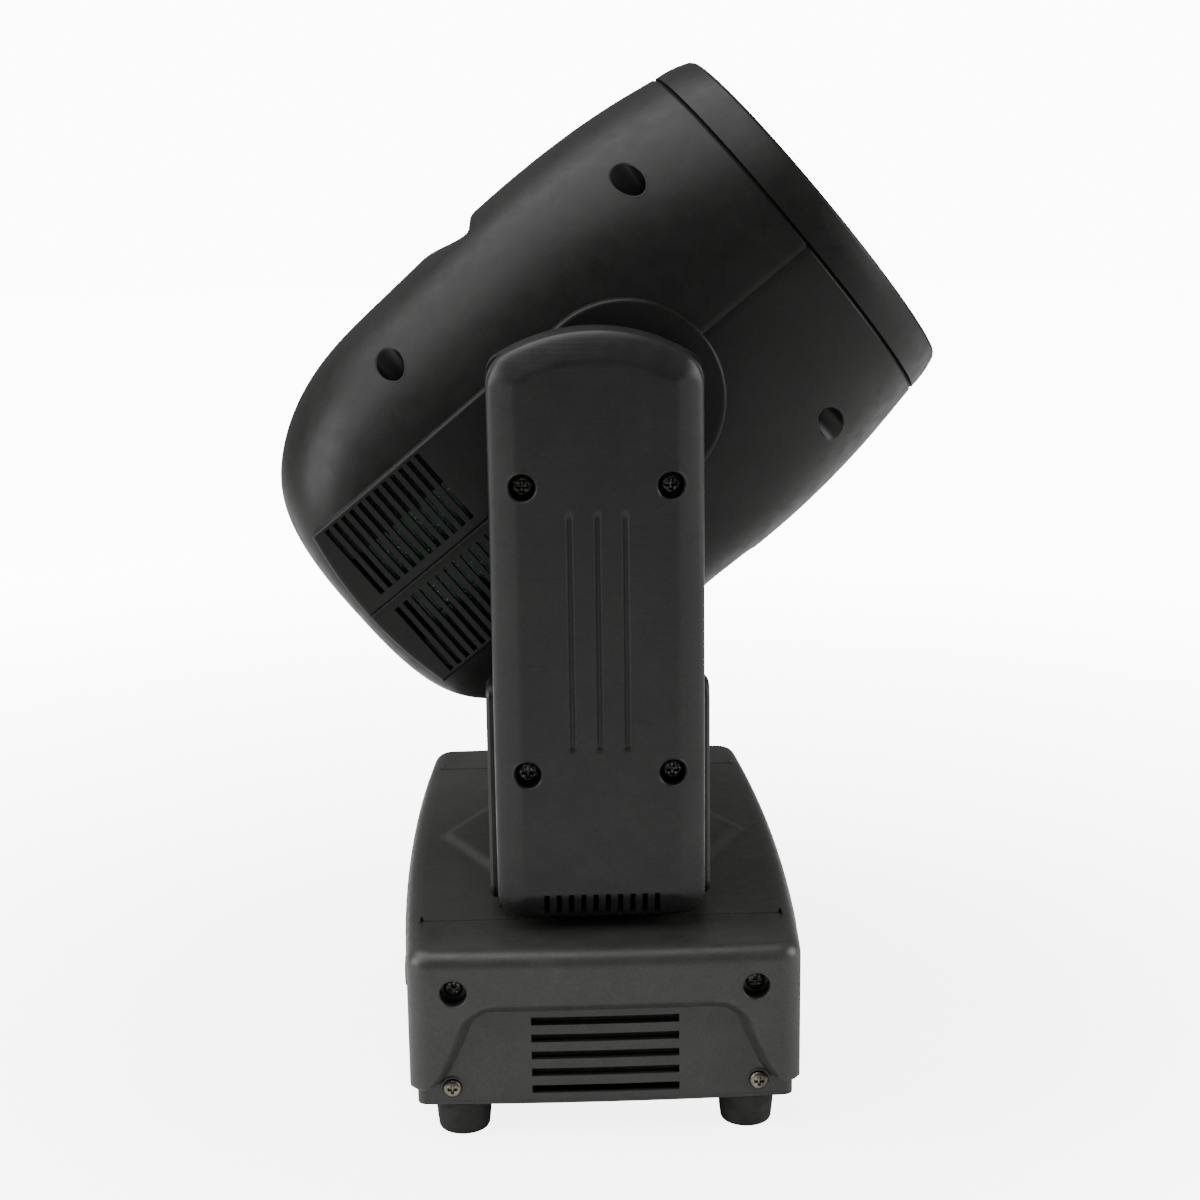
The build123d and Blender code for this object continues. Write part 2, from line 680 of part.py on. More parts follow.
with BuildPart() as saddle_cover:
    # hood over the cross-member, open underneath and towards the arms
    with BuildSketch(Plane.XZ):
        with Locations((0, (FRAME_Z - 3 + CROSS_TOP) / 2)):
            Rectangle(ARM_W - 0.6, CROSS_TOP - FRAME_Z + 3)
            Rectangle(ARM_W - 0.6 - 2 * WALL, CROSS_TOP - FRAME_Z + 3, mode=Mode.SUBTRACT)
        with Locations((0, CROSS_TOP - WALL / 2)):
            Rectangle(ARM_W - 0.6, WALL)
    extrude(amount=ARM_SPLIT - 0.1, both=True)
    with BuildSketch(Plane.XY.offset(CROSS_TOP - 10)):
        with GridLocations(0, 2 * ARM_PLATE, 1, 2):
            Rectangle(2 * FRAME_X + 1, 6)
    extrude(amount=20, mode=Mode.SUBTRACT)
save(saddle_cover, "yoke_saddle_cover")

for name, way in (("front", 1), ("back", -1)):
    with BuildPart() as trim:
        with BuildSketch(Plane.YZ.offset(way * ARM_W / 2)):
            with Locations((0, (YOKE_Z + 2 + TRIM_TOP) / 2)):
                RectangleRounded(2 * TRIM_Y, TRIM_TOP - YOKE_Z - 2, 8)
            with Locations((0, CROSS_TOP + 60)):
                RectangleRounded(2 * ARM_IN, 120, 22, mode=Mode.SUBTRACT)
        extrude(amount=way * TRIM_T)
        chamfer(edges().group_by(Axis.X)[-1 if way > 0 else 0], 1.5)
    save(trim, f"yoke_trim_{name}")

with BuildPart() as pan_shaft:
    with BuildSketch(Plane.XY.offset(44)):
        Circle(PAN_SHAFT_R)
        Circle(PAN_SHAFT_BORE_R, mode=Mode.SUBTRACT)
    extrude(amount=FRAME_Z - 3 - 44)
    with BuildSketch(Plane.XY.offset(PLATE_Z + PAD_H + 0.4)):
        Circle(40)
        Circle(PAN_SHAFT_BORE_R, mode=Mode.SUBTRACT)
        with PolarLocations(33, 6):
            Circle(2.5, mode=Mode.SUBTRACT)
    extrude(amount=FRAME_Z - 3 - PLATE_Z - PAD_H - 0.4)
save(pan_shaft, "pan_shaft")

with BuildPart() as pan_pulley:
    with BuildSketch(Plane.XY.offset(PAN_PULLEY_Z - 2)):
        Circle(PAN_PULLEY_R + 2.5)
    extrude(amount=BELT_W + 4)
    with BuildSketch(Plane.XY.offset(PAN_PULLEY_Z - 0.5)):
        Circle(PAN_PULLEY_R + 4)
        Circle(PAN_PULLEY_R, mode=Mode.SUBTRACT)
    extrude(amount=BELT_W + 1, mode=Mode.SUBTRACT)
    with BuildSketch(Plane.XY.offset(PAN_PULLEY_Z - 3)):
        Circle(PAN_SHAFT_R)
    extrude(amount=20, mode=Mode.SUBTRACT)
save(pan_pulley, "pan_pulley")

NEAR_BELT = side_plane(-BELT_Y)      # looks along +Y at the near arm's belt
with BuildPart() as tilt_motor:
    with BuildSketch(side_plane(-124.4)):
        with Locations((0, TILT_MOTOR_Z)):
            Rectangle(42, 42)
            chamfer(vertices(), 4)
    extrude(amount=18)
    with BuildSketch(side_plane(-124.4)):
        with Locations((0, TILT_MOTOR_Z)):
            Circle(11)
    extrude(amount=-2)
    with BuildSketch(side_plane(-122.4)):
        with Locations((0, TILT_MOTOR_Z)):
            Circle(2.5)
    extrude(amount=-13.5)
save(tilt_motor, "tilt_motor")


def pulley(plane, spot, radius, bore):
    """A flanged belt pulley standing on plane: two flanges with the belt's track between them."""
    with BuildPart() as wheel:
        with BuildSketch(plane):
            with Locations(spot):
                Circle(radius + 2.5)
        extrude(amount=BELT_W + 2)
        with BuildSketch(plane.offset(0.8)):
            with Locations(spot):
                Circle(radius + 4)
                Circle(radius, mode=Mode.SUBTRACT)
        extrude(amount=BELT_W + 0.4, mode=Mode.SUBTRACT)
        with BuildSketch(plane.offset(-1)):
            with Locations(spot):
                Circle(bore)
        extrude(amount=BELT_W + 4, mode=Mode.SUBTRACT)
    return wheel


save(pulley(NEAR_BELT, (0, TILT_MOTOR_Z), SMALL_PULLEY_R, 2.5 + FIT), "tilt_motor_pulley")
save(pulley(NEAR_BELT, (0, TILT_Z), TILT_PULLEY_R, HUB_R), "tilt_pulley")

with BuildPart() as tilt_belt:
    with BuildSketch(NEAR_BELT.offset(1)):
        add(belt_loop((0, TILT_Z), TILT_PULLEY_R, (0, TILT_MOTOR_Z), SMALL_PULLEY_R, GAP))
    extrude(amount=BELT_W)
save(tilt_belt, "tilt_belt")

with BuildPart() as tilt_bearings:
    for end, plane, way in both_ends(ARM_PLATE):
        with BuildSketch(plane.offset(-1.5)):
            with Locations((0, TILT_Z)):
                Circle(BEARING_R)
                Circle(HUB_R + FIT, mode=Mode.SUBTRACT)
        extrude(amount=8)
        with BuildSketch(plane.offset(1.5)):
            with Locations((0, TILT_Z)):
                Circle(BEARING_R + 4)
                Circle(HUB_R + FIT, mode=Mode.SUBTRACT)
        extrude(amount=2)
save(tilt_bearings, "tilt_bearings")

# ==== HEAD ===================================================================================
# outline of the head along its axis: distance forward of the tilt axis, radius
HEAD_PROFILE = [(RING_BACK, 104.5), (78, 113), (18, 114.5), (-47, 112), (-94, 107.4),
                (-125, 95.4), (-146, 78), (-158, 45), (-164, 0)]
BAND_H = 49.0             # half-height of the raised band on each side
BAND_REAR = -140.0        # rear corners of the band
BAND_BACK = -146.0        # middle of its rear edge
BAND_BEND = -62.0         # where its flat sides start to turn in
BAND_TAPER = 7.0          # how far they have come in at the rear
BOSS_AT = 21.0            # centre of the band's round front end
BOSS_R = 48.5
VENT_FIRST = -133.5
VENT_LAST = -72.0
HEAD_VENTS = 12
VENT_LOW = 5.0
VENT_HIGH = 46.5
POCKET_R = 7.5
POCKETS = [(90, 77), (-57, 74)]     # along the axis and across Y
POCKET_FLOOR = 62.0
SPIGOT_R = 100.0          # the ring's spigot inside the shells


def head_body(inset):
    """The rounded head as a solid, its sides cut flat, moved in by inset.

    Its outline is one smooth curve through HEAD_PROFILE turned about the head's axis.
    """
    stretch = 1 - inset / (RING_BACK - HEAD_PROFILE[-1][0])
    points = [(RING_BACK + (a - RING_BACK) * stretch, max(r - inset, 0)) for a, r in HEAD_PROFILE]
    front = [(RING_BACK + 1, 0), (RING_BACK + 1, points[0][1])] if inset else [(RING_BACK, 0)]
    with BuildPart() as body:
        with BuildSketch(HEAD_MID):
            with BuildLine():
                Spline(*points, tangents=[(-1, 0.2), (0, -1)])
                Polyline(points[-1], *front, points[0])
            make_face()
        revolve(axis=HEAD_AXIS)
        with BuildSketch(HEAD_SPLIT):
            with Locations((0, 0)):
                Rectangle(400, 2 * (HEAD_FLAT - inset))
        extrude(amount=150, both=True, mode=Mode.INTERSECT)
    return body.part


def side_band(inset):
    """The flat-faced band across the head: round at its front, an arc at its rear, moved in by inset."""
    high = BAND_H - inset
    with BuildPart() as band:
        with BuildSketch(HEAD_MID):
            with BuildLine():
                Line((BAND_REAR + inset, high), (BOSS_AT, high))
                ThreePointArc((BOSS_AT, high), (BOSS_AT + high, 0), (BOSS_AT, -high))
                Line((BOSS_AT, -high), (BAND_REAR + inset, -high))
                ThreePointArc((BAND_REAR + inset, -high), (BAND_BACK + inset, 0), (BAND_REAR + inset, high))
            make_face()
        extrude(amount=HEAD_FLAT - inset, both=True)
        # plan of the band: its flat sides turn in a little behind the arms
        side = HEAD_FLAT - inset
        with BuildSketch(HEAD_SPLIT):
            with BuildLine():
                Polyline((BOSS_AT + high + 5, side), (BAND_BEND, side), (BAND_REAR + 12, side - BAND_TAPER))
                ThreePointArc((BAND_REAR + 12, side - BAND_TAPER), (BAND_REAR + 2, side - BAND_TAPER - 5),
                              (BAND_BACK, side - BAND_TAPER - 17))
                Line((BAND_BACK, side - BAND_TAPER - 17), (BAND_BACK, 0))
                mirror(about=Plane.XZ)
                Line((BOSS_AT + high + 5, side), (BOSS_AT + high + 5, -side))
            make_face()
        extrude(amount=high, both=True, mode=Mode.INTERSECT)
    return band.part


head_outer = head_body(0)
head_hollow = head_body(HEAD_WALL)
band_outer = side_band(0)
band_hollow = side_band(HEAD_WALL)

with BuildPart() as head_shell:
    add(head_outer)
    add(band_outer)
    # raised ring round the tilt hub on each side
    for way in (-1, 1):
        with BuildSketch(HEAD_MID.offset(way * (HEAD_FLAT - 1))):
            with Locations((BOSS_AT, 0)):
                Circle(BOSS_R)
                Circle(BOSS_R - 3, mode=Mode.SUBTRACT)
        extrude(amount=way * 2)
    add(head_hollow, mode=Mode.SUBTRACT)
    add(band_hollow, mode=Mode.SUBTRACT)
    with BuildSketch(HEAD_MID):
        Circle(HUB_R + 1)
    extrude(amount=130, both=True, mode=Mode.SUBTRACT)
    # vent slots in the sides of the band, behind the arms
    for way in (-1, 1):
        with BuildSketch(HEAD_MID.offset(way * 80)):
            pitch = (VENT_LAST - VENT_FIRST) / (HEAD_VENTS - 1)
            for centre in ((VENT_LOW + VENT_HIGH) / 2, -(VENT_LOW + VENT_HIGH) / 2):
                with Locations(((VENT_FIRST + VENT_LAST) / 2, centre)):
                    with GridLocations(pitch, 0, HEAD_VENTS, 1):
                        Rectangle(2.6, VENT_HIGH - VENT_LOW)
        extrude(amount=way * 40, mode=Mode.SUBTRACT)

POCKET_SPOTS = [(a, side * y) for a, y in POCKETS for side in (-1, 1)]


def pocket_tubes(way):
    """Tubes from the shell's surface down to the floors that the deep screws bear on."""
    with BuildPart() as tubes:
        with BuildSketch(HEAD_SPLIT.offset(way * (POCKET_FLOOR - 3))):
            with Locations(*POCKET_SPOTS):
                Circle(POCKET_R + 2)
        extrude(amount=way * 60)
        add(head_outer, mode=Mode.INTERSECT)
    return tubes.part


for name, way in (("upper", 1), ("lower", -1)):
    tubes = pocket_tubes(way)
    with BuildPart() as shell:
        add(head_shell.part)
        with BuildSketch(HEAD_SPLIT.offset(way * 0.1)):
            Rectangle(500, 300)
        extrude(amount=way * 150, mode=Mode.INTERSECT)
        add(tubes)
        with BuildSketch(HEAD_SPLIT.offset(way * POCKET_FLOOR)):
            with Locations(*POCKET_SPOTS):
                Circle(POCKET_R)
        extrude(amount=way * 80, mode=Mode.SUBTRACT)
        with BuildSketch(HEAD_SPLIT):
            with Locations(*POCKET_SPOTS):
                Circle(2.1)
        extrude(amount=way * 80, mode=Mode.SUBTRACT)
    save(shell, f"{name}_shell")

with BuildPart() as shell_screws:
    for way in (-1, 1):
        with BuildSketch(HEAD_SPLIT.offset(way * POCKET_FLOOR)):
            with Locations(*POCKET_SPOTS):
                Circle(4)
        extrude(amount=way * 2.6)
        with BuildSketch(HEAD_SPLIT.offset(way * POCKET_FLOOR)):
            with Locations(*POCKET_SPOTS):
                Circle(2.0)
        extrude(amount=way * -5)
        with BuildSketch(HEAD_SPLIT.offset(way * (POCKET_FLOOR + 1.2))):
            with Locations(*POCKET_SPOTS):
                Rectangle(4.8, 1.1)
                Rectangle(1.1, 4.8)
        extrude(amount=way * 2, mode=Mode.SUBTRACT)
save(shell_screws, "shell_screws")

with BuildPart() as front_ring:
    with BuildSketch(HEAD_MID):
        with BuildLine():
            Line((RING_BACK, SPIGOT_R), (RING_BACK, 104.5))
            ThreePointArc((RING_BACK, 104.5), (146, 102.6), (154, 99.6))
            Polyline((154, 99.6), (RING_FRONT, 98), (RING_FRONT, 94), (152, 90.5), (149, 90.5), (145, 97.5),
                     (126, 97.5), (126, SPIGOT_R), (RING_BACK, SPIGOT_R))
        make_face()
    revolve(axis=HEAD_AXIS)
    # the spigot is cut flat where the shells' sides are flat
    with BuildSketch(HEAD_SPLIT):
        with Locations((RING_BACK - 10, HEAD_FLAT + 6.5), (RING_BACK - 10, -HEAD_FLAT - 6.5)):
            Rectangle(20, 20)
    extrude(amount=80, both=True, mode=Mode.SUBTRACT)
save(front_ring, "front_ring")

# ---- inside the head ------------------------------------------------------------------------
BULKHEAD = 44.0           # back face of the round plate that carries everything, along the axis
SINK_HALF = 48.0
LENS_R = 26.0
LENS_PCD_R = 59.0
ROD_R = 91.0              # where the guide rods and the lead screw stand
ROD_ANGLES = (90, 210)
SCREW_ANGLE = 330
CARRIER = 104.0           # back face of the zoom carrier at rest
CARRIER_T = 3.5
CARRIER_R = 87.5          # inside the screw pockets; lugs reach out to the rods


def round_spots(radius, angles):
    """Points on a circle about the head's axis."""
    return [(radius * cos(radians(a)), radius * sin(radians(a))) for a in angles]


RODS = round_spots(ROD_R, ROD_ANGLES)
SCREW_SPOT = round_spots(ROD_R, (SCREW_ANGLE,))[0]

HUB_PLATE_Y = HEAD_FLAT - HEAD_WALL - 3.1
with BuildPart() as tilt_hubs:
    for end, plane, way in both_ends(HUB_PLATE_Y):
        # plate inside the shell, in the head's own directions, with the hollow hub standing on it
        with BuildSketch(HEAD_MID.offset(-way * HUB_PLATE_Y)):
            with Locations(((BULKHEAD - 40) / 2, 0)):
                RectangleRounded(BULKHEAD + 40, 70, 4)
        extrude(amount=-way * 3)
        with BuildSketch(plane):
            with Locations((0, TILT_Z)):
                Circle(HUB_R)
        extrude(amount=ARM_PLATE + 14 - HUB_PLATE_Y)
        with BuildSketch(plane.offset(-1)):
            with Locations((0, TILT_Z)):
                Circle(HUB_BORE_R)
        extrude(amount=60, mode=Mode.SUBTRACT)
save(tilt_hubs, "tilt_hubs")

with BuildPart() as bulkhead:
    with BuildSketch(HEAD.offset(BULKHEAD)):
        Circle(100)
        Rectangle(2 * (HEAD_FLAT - HEAD_WALL - 0.1), 220, mode=Mode.INTERSECT)
        Rectangle(2 * SINK_HALF + 2, 2 * SINK_HALF + 2, mode=Mode.SUBTRACT)
        with Locations(*RODS, SCREW_SPOT):
            Circle(2.6, mode=Mode.SUBTRACT)
    extrude(amount=3)
save(bulkhead, "head_bulkhead")

with BuildPart() as heat_sink:
    with BuildSketch(HEAD.offset(BULKHEAD + 3)):
        Circle(84)
    extrude(amount=7)
    with BuildSketch(HEAD.offset(12)):
        with GridLocations(6.8, 0, 15, 1):
            Rectangle(1.6, 2 * SINK_HALF)
    extrude(amount=BULKHEAD + 3 - 12)
save(heat_sink, "heat_sink")

LENS_SPOTS = [(0, 0)] + round_spots(LENS_PCD_R, range(0, 360, 60))

with BuildPart() as led_board:
    with BuildSketch(HEAD.offset(BULKHEAD + 10)):
        Circle(82)
    extrude(amount=2)
    with BuildSketch(HEAD.offset(BULKHEAD + 12)):
        with Locations(*LENS_SPOTS):
            Rectangle(12, 12)
    extrude(amount=2)
save(led_board, "led_board")

with BuildPart() as zoom_carrier:
    with BuildSketch(HEAD.offset(CARRIER)):
        Circle(CARRIER_R)
        with Locations(*RODS, SCREW_SPOT):
            Circle(6)
        Circle(95.5, mode=Mode.INTERSECT)
        with Locations(*LENS_SPOTS):
            Circle(LENS_R - 2, mode=Mode.SUBTRACT)
    extrude(amount=CARRIER_T)
    with BuildSketch(HEAD.offset(CARRIER - 4)):
        with Locations(*RODS, SCREW_SPOT):
            Circle(5)
    extrude(amount=8)
    with BuildSketch(HEAD.offset(CARRIER - 5)):
        with Locations(*RODS):
            Circle(2.5 + FIT)
        with Locations(SCREW_SPOT):
            Circle(3 + FIT)
    extrude(amount=20, mode=Mode.SUBTRACT)
save(zoom_carrier, "zoom_carrier")

with BuildPart() as lenses:
    with BuildSketch(HEAD.offset(CARRIER + CARRIER_T)):
        with Locations(*LENS_SPOTS):
            Circle(LENS_R)
    extrude(amount=2.5)
    with BuildSketch(HEAD.offset(CARRIER + CARRIER_T + 2.5)):
        with Locations(*LENS_SPOTS):
            Circle(LENS_R - 2)
    extrude(amount=10, taper=30)
save(lenses, "lenses")

with BuildPart() as zoom_rods:
    with BuildSketch(HEAD.offset(BULKHEAD + 3)):
        with Locations(*RODS):
            Circle(2.5)
    extrude(amount=134 - BULKHEAD - 3)
save(zoom_rods, "zoom_rods")

with BuildPart() as zoom_motor:
    with BuildSketch(HEAD.offset(BULKHEAD)):
        with Locations(SCREW_SPOT):
            Circle(12.5)
    extrude(amount=-24)
save(zoom_motor, "zoom_motor")

with BuildPart() as lead_screw:
    with BuildSketch(HEAD.offset(BULKHEAD + GAP)):
        with Locations(SCREW_SPOT):
            Circle(2.5)
    extrude(amount=3)
    with BuildSketch(HEAD.offset(BULKHEAD + 3 + GAP)):
        with Locations(SCREW_SPOT):
            Circle(3)
    extrude(amount=134 - BULKHEAD - 3)
save(lead_screw, "lead_screw")

FAN = -20.0               # back face of the fan along the axis
with BuildPart() as fan_frame:
    with BuildSketch(HEAD.offset(FAN)):
        RectangleRounded(120, 120, 6)
        Circle(57.5, mode=Mode.SUBTRACT)
        with GridLocations(105, 105, 2, 2):
            Circle(2.2, mode=Mode.SUBTRACT)
    extrude(amount=25)
    with BuildSketch(HEAD.offset(FAN)):
        Circle(21)
        Rectangle(6, 118)
        Rectangle(118, 6)
    extrude(amount=2.5)
    with BuildSketch(HEAD.offset(FAN + 25)):
        with GridLocations(105, 105, 2, 2):
            Circle(4)
    extrude(amount=BULKHEAD - FAN - 25)
save(fan_frame, "head_fan_frame")

with BuildPart() as fan_rotor:
    with BuildSketch(HEAD.offset(FAN + 3)):
        Circle(20)
    extrude(amount=20)
    with BuildSketch(HEAD.offset(FAN + 5)):
        with PolarLocations(38, 7):
            Rectangle(36.5, 3)
    extrude(amount=15)
save(fan_rotor, "head_fan_rotor")

with BuildPart() as head_board:
    with BuildSketch(HEAD_MID.offset(74)):
        with Locations((-88, 0)):
            Rectangle(80, 78)
    extrude(amount=1.6)
    with BuildSketch(HEAD_MID.offset(75.6)):
        with Locations((-88, 0)):
            with GridLocations(20, 26, 4, 3):
                Rectangle(9, 6)
    extrude(amount=5)
save(head_board, "head_board")
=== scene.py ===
"""Looks of a moving head light: moulded shells and covers, fasteners, finishes and a studio around its frame.

Lengths in the shape functions are millimetres in the row frame, and one helper turns them to metres.
"""

import json
import math

import bpy
import numpy as np
from bpy.props import FloatProperty, FloatVectorProperty, IntProperty, PointerProperty
from mathutils import Matrix, Vector


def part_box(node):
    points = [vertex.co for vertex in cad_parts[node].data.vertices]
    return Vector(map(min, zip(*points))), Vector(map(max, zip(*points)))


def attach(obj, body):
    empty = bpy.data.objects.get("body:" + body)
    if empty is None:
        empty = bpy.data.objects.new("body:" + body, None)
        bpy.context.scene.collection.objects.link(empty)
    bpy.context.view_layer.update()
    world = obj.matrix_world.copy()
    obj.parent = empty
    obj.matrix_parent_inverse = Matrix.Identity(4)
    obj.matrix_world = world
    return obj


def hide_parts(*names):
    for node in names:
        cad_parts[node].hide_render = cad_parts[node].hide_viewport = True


bl_info = {
    "name": "Moving head light",
    "version": (1, 0, 0),
    "blender": (4, 5, 0),
    "location": "3D View > Sidebar > Moving head",
    "description": "Builds the moulded shells, fasteners, finishes and studio of a moving head light",
    "category": "Add Mesh",
}

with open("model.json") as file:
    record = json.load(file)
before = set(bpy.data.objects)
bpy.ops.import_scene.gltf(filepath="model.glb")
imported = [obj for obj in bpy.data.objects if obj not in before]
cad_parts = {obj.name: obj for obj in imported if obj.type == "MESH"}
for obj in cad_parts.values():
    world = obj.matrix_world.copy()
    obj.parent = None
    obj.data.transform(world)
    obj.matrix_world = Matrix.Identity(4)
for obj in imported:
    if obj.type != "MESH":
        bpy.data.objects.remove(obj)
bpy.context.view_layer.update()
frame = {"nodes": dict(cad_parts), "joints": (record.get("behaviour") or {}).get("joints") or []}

MM = 0.001
WELD = 1e-7                          # points closer than this, in metres, are one point
SHARP = math.radians(34)             # edges that fold more than this stay crisp


def place(node):
    """Lowest and highest corner of a CAD node, in millimetres."""
    low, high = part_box(node)
    return np.array(low) / MM, np.array(high) / MM


def joint(name):
    """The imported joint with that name."""
    return next(row for row in frame["joints"] if row["name"] == name)


# ---- places that come from the frame ------------------------------------------------------------
HEAD_DIR = np.array(joint("zoom")["axis"], float)
HEAD_DIR = HEAD_DIR / np.linalg.norm(HEAD_DIR)
SIDE_DIR = np.array((0.0, 1.0, 0.0))
HEAD_UP = np.cross(HEAD_DIR, SIDE_DIR)
TILT_POINT = np.array(joint("tilt")["pos_m"], float) / MM

CAP_BOTTOM = place("end_cap_near")[0][2]
FOOT_TOP = place("lower_case")[0][2] - 2
PLATE_Z = place("end_cap_near")[1][2]
END_Y = -place("end_cap_near")[0][1]
SEAM_Y = -place("end_cap_near")[1][1]
CASE_TOP = place("top_cover")[0][2]
PAD_TOP = place("top_cover")[1][2]
END_X = 95.0                         # half the base's width at its ends
SIDE_BOW = 6.5                       # how far each long side of the base bows out at its middle
END_BOW = 2.5

ARM_OUT = -place("arm_cover_outer_near")[0][1]
ARM_SPLIT = -place("arm_cover_outer_near")[1][1]
ARM_HALF = place("arm_cover_outer_near")[1][0]
ARM_FOOT = place("arm_cover_outer_near")[0][2]
ARM_TOP = place("arm_cover_outer_near")[1][2]
ARM_SCREWS = ((-35.0, 178.8), (35.0, 178.8), (-35.0, 318.8), (35.0, 318.8))

# along the head's axis, half height, half width: from the front ring to the back of the dome
HEAD_STATIONS = (
    (136, 104.5, 104.5), (108, 109.6, 102.9), (78, 113, 101.2), (18, 114.5, 99.5), (-47, 112, 98.8),
    (-94, 107.4, 98.2), (-125, 95.4, 95), (-146, 78, 85), (-158, 45, 52), (-164, 0, 0),
)
HEAD_SCREWS = ((90.0, 77.0), (-57.0, 74.0))     # along the axis and to each side
HEAD_SCREW_FLOOR = 62.0
BAND_HALF = 49.0                     # half height of the raised band on each side of the head
BAND_ROUND = 21.0                    # where the centre of the band's round front is along the axis
BAND_BACK = -146.0
BAND_SIDE = 102.0
HEM_START = 134.3                    # where each shell begins to draw in towards its gap with the front ring
HEM_SHRINK = 0.018                   # share of the shell's size that the gap is deep
HEM_LENGTH = 1.5
SHADE_SHEET_SIDE = 93.5                   # distance of the head's painted-shade sheets from the head's middle
CASE_SHADE_SHEET_Y = 159.5                  # distance of the base's painted-shade sheets from the base's middle
VENT_START = -72.0                   # front edge of the first vent, along the axis
VENT_END = -133.5
VENT_COUNT = 12
VENT_W = 2.6


# ---- surfaces -----------------------------------------------------------------------------------
def smooth(x):
    """0 below 0, 1 above 1, and the cubic 3x^2 - 2x^3 between."""
    x = np.clip(x, 0, 1)
    return x * x * (3 - 2 * x)


def stations(edges, step):
    """The edges in order, with evenly spaced stations between them no further apart than step."""
    spans = zip(edges, edges[1:])
    parts = [np.linspace(a, b, max(2, int(np.ceil((b - a) / step)) + 1))[:-1] for a, b in spans]
    return np.concatenate(parts + [np.array(edges[-1:], float)])


def through(points, count):
    """A natural cubic spline through the points, by chord length, as count points."""
    points = np.asarray(points, float)
    chord = np.concatenate([[0], np.cumsum(np.linalg.norm(np.diff(points, axis=0), axis=1))])
    step = np.diff(chord)
    size = len(points)
    inner = np.arange(1, size - 1)
    matrix = np.eye(size)
    matrix[inner, inner - 1] = step[:-1]
    matrix[inner, inner] = 2 * (step[:-1] + step[1:])
    matrix[inner, inner + 1] = step[1:]
    slope = np.diff(points, axis=0) / step[:, None]
    turn = np.zeros_like(points)
    turn[inner] = 6 * np.diff(slope, axis=0)
    bend = np.linalg.solve(matrix, turn)
    at = np.linspace(0, chord[-1], count)
    k = np.clip(np.searchsorted(chord, at, side="right") - 1, 0, size - 2)
    h = step[k][:, None]
    back = (chord[k + 1] - at)[:, None]
    ahead = (at - chord[k])[:, None]
    cubic = (bend[k] * back**3 + bend[k + 1] * ahead**3) / (6 * h)
    return cubic + (points[k] / h - bend[k] * h / 6) * back + (points[k + 1] / h - bend[k + 1] * h / 6) * ahead


def nearest_edge(one, other, radius):
    """Distance inside two edges that meet in a corner rounded by radius."""
    p = np.maximum(radius - one, 0)
    q = np.maximum(radius - other, 0)
    corner = radius - np.hypot(p, q)
    return np.where((p > 0) & (q > 0), corner, np.minimum(one, other))


def whole(inside):
    """Marks the quads whose four corners are all marked."""
    return inside[:-1, :-1] & inside[1:, :-1] & inside[:-1, 1:] & inside[1:, 1:]


def corners_of(quads):
    """Marks the points that are a corner of any marked quad."""
    grown = np.pad(quads, 1)
    return grown[:-1, :-1] | grown[1:, :-1] | grown[:-1, 1:] | grown[1:, 1:]


def round_hole(x, y, centre, radius, where):
    """Cuts a round hole in a plan grid: quads whose middle is in the circle go, and their rim moves onto it.

    Returns the moved plan, the quads that go, and the points that moved.
    """
    dx = x - centre[0]
    dy = y - centre[1]
    middle = [(g[:-1, :-1] + g[1:, :-1] + g[:-1, 1:] + g[1:, 1:]) / 4 for g in (dx, dy)]
    gone = (np.hypot(*middle) < radius) & whole(where)
    rim = corners_of(gone) & corners_of(~gone)
    scale = np.where(rim, radius / np.maximum(np.hypot(dx, dy), 1e-6), 1)
    return centre[0] + dx * scale, centre[1] + dy * scale, gone, rim


def patch(points, inside, keep=None, hollow=False):
    """A grid in millimetres as points in metres and quads that face away from inside, or to it when hollow."""
    rows, columns = points.shape[:2]
    flat = points.reshape(-1, 3) * MM
    index = np.arange(rows * columns).reshape(rows, columns)
    quads = np.stack((index[:-1, :-1], index[:-1, 1:], index[1:, 1:], index[1:, :-1]), axis=-1)
    quads = quads.reshape(-1, 4) if keep is None else quads[keep]
    corner = flat[quads]
    normal = np.cross(corner[:, 2] - corner[:, 0], corner[:, 3] - corner[:, 1])
    outward = np.sum(normal * (corner.mean(axis=1) - np.array(inside) * MM))
    return flat, quads[:, ::-1] if (outward < 0) != hollow else quads


def fill_mesh(mesh, patches):
    """Joins the patches, welds equal points, and makes a quad with two equal corners a triangle."""
    first = np.cumsum([0] + [len(points) for points, _ in patches])
    points = np.concatenate([points for points, _ in patches])
    quads = np.concatenate([quads + start for (_, quads), start in zip(patches, first)])
    cells = np.round(points[quads.ravel()] / WELD).astype(np.int64)
    used, corner = np.unique(cells, axis=0, return_inverse=True)
    quads = corner.reshape(-1, 4)
    same = quads == np.roll(quads, -1, axis=1)
    whole_quads = quads[~same.any(axis=1)]
    folded = same.sum(axis=1) == 1
    triangles = quads[folded][~same[folded]].reshape(-1, 3)
    mesh.from_pydata((used * WELD).tolist(), [], whole_quads.tolist() + triangles.tolist())
    mesh.update()


def add_piece(name, patches, body, slot, nodes=(), wall=0.0):
    """One object of several patches, with a wall behind them, which rides on a body in place of CAD nodes."""
    mesh = bpy.data.meshes.new(name)
    fill_mesh(mesh, patches)
    piece = bpy.data.objects.new(name, mesh)
    bpy.context.scene.collection.objects.link(piece)
    if wall > 0:
        solid = piece.modifiers.new("wall", "SOLIDIFY")
        solid.thickness = wall * MM
        solid.offset = -1
        bpy.context.view_layer.update()
        made = piece.evaluated_get(bpy.context.evaluated_depsgraph_get())
        piece.data = bpy.data.meshes.new_from_object(made)
        piece.modifiers.clear()
    piece.data.shade_smooth()
    piece.data.set_sharp_from_angle(angle=SHARP)
    piece.data.materials.clear()
    piece.data.materials.append(bpy.data.materials[slot])
    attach(piece, body)
    if nodes:
        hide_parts(*nodes)
    return piece


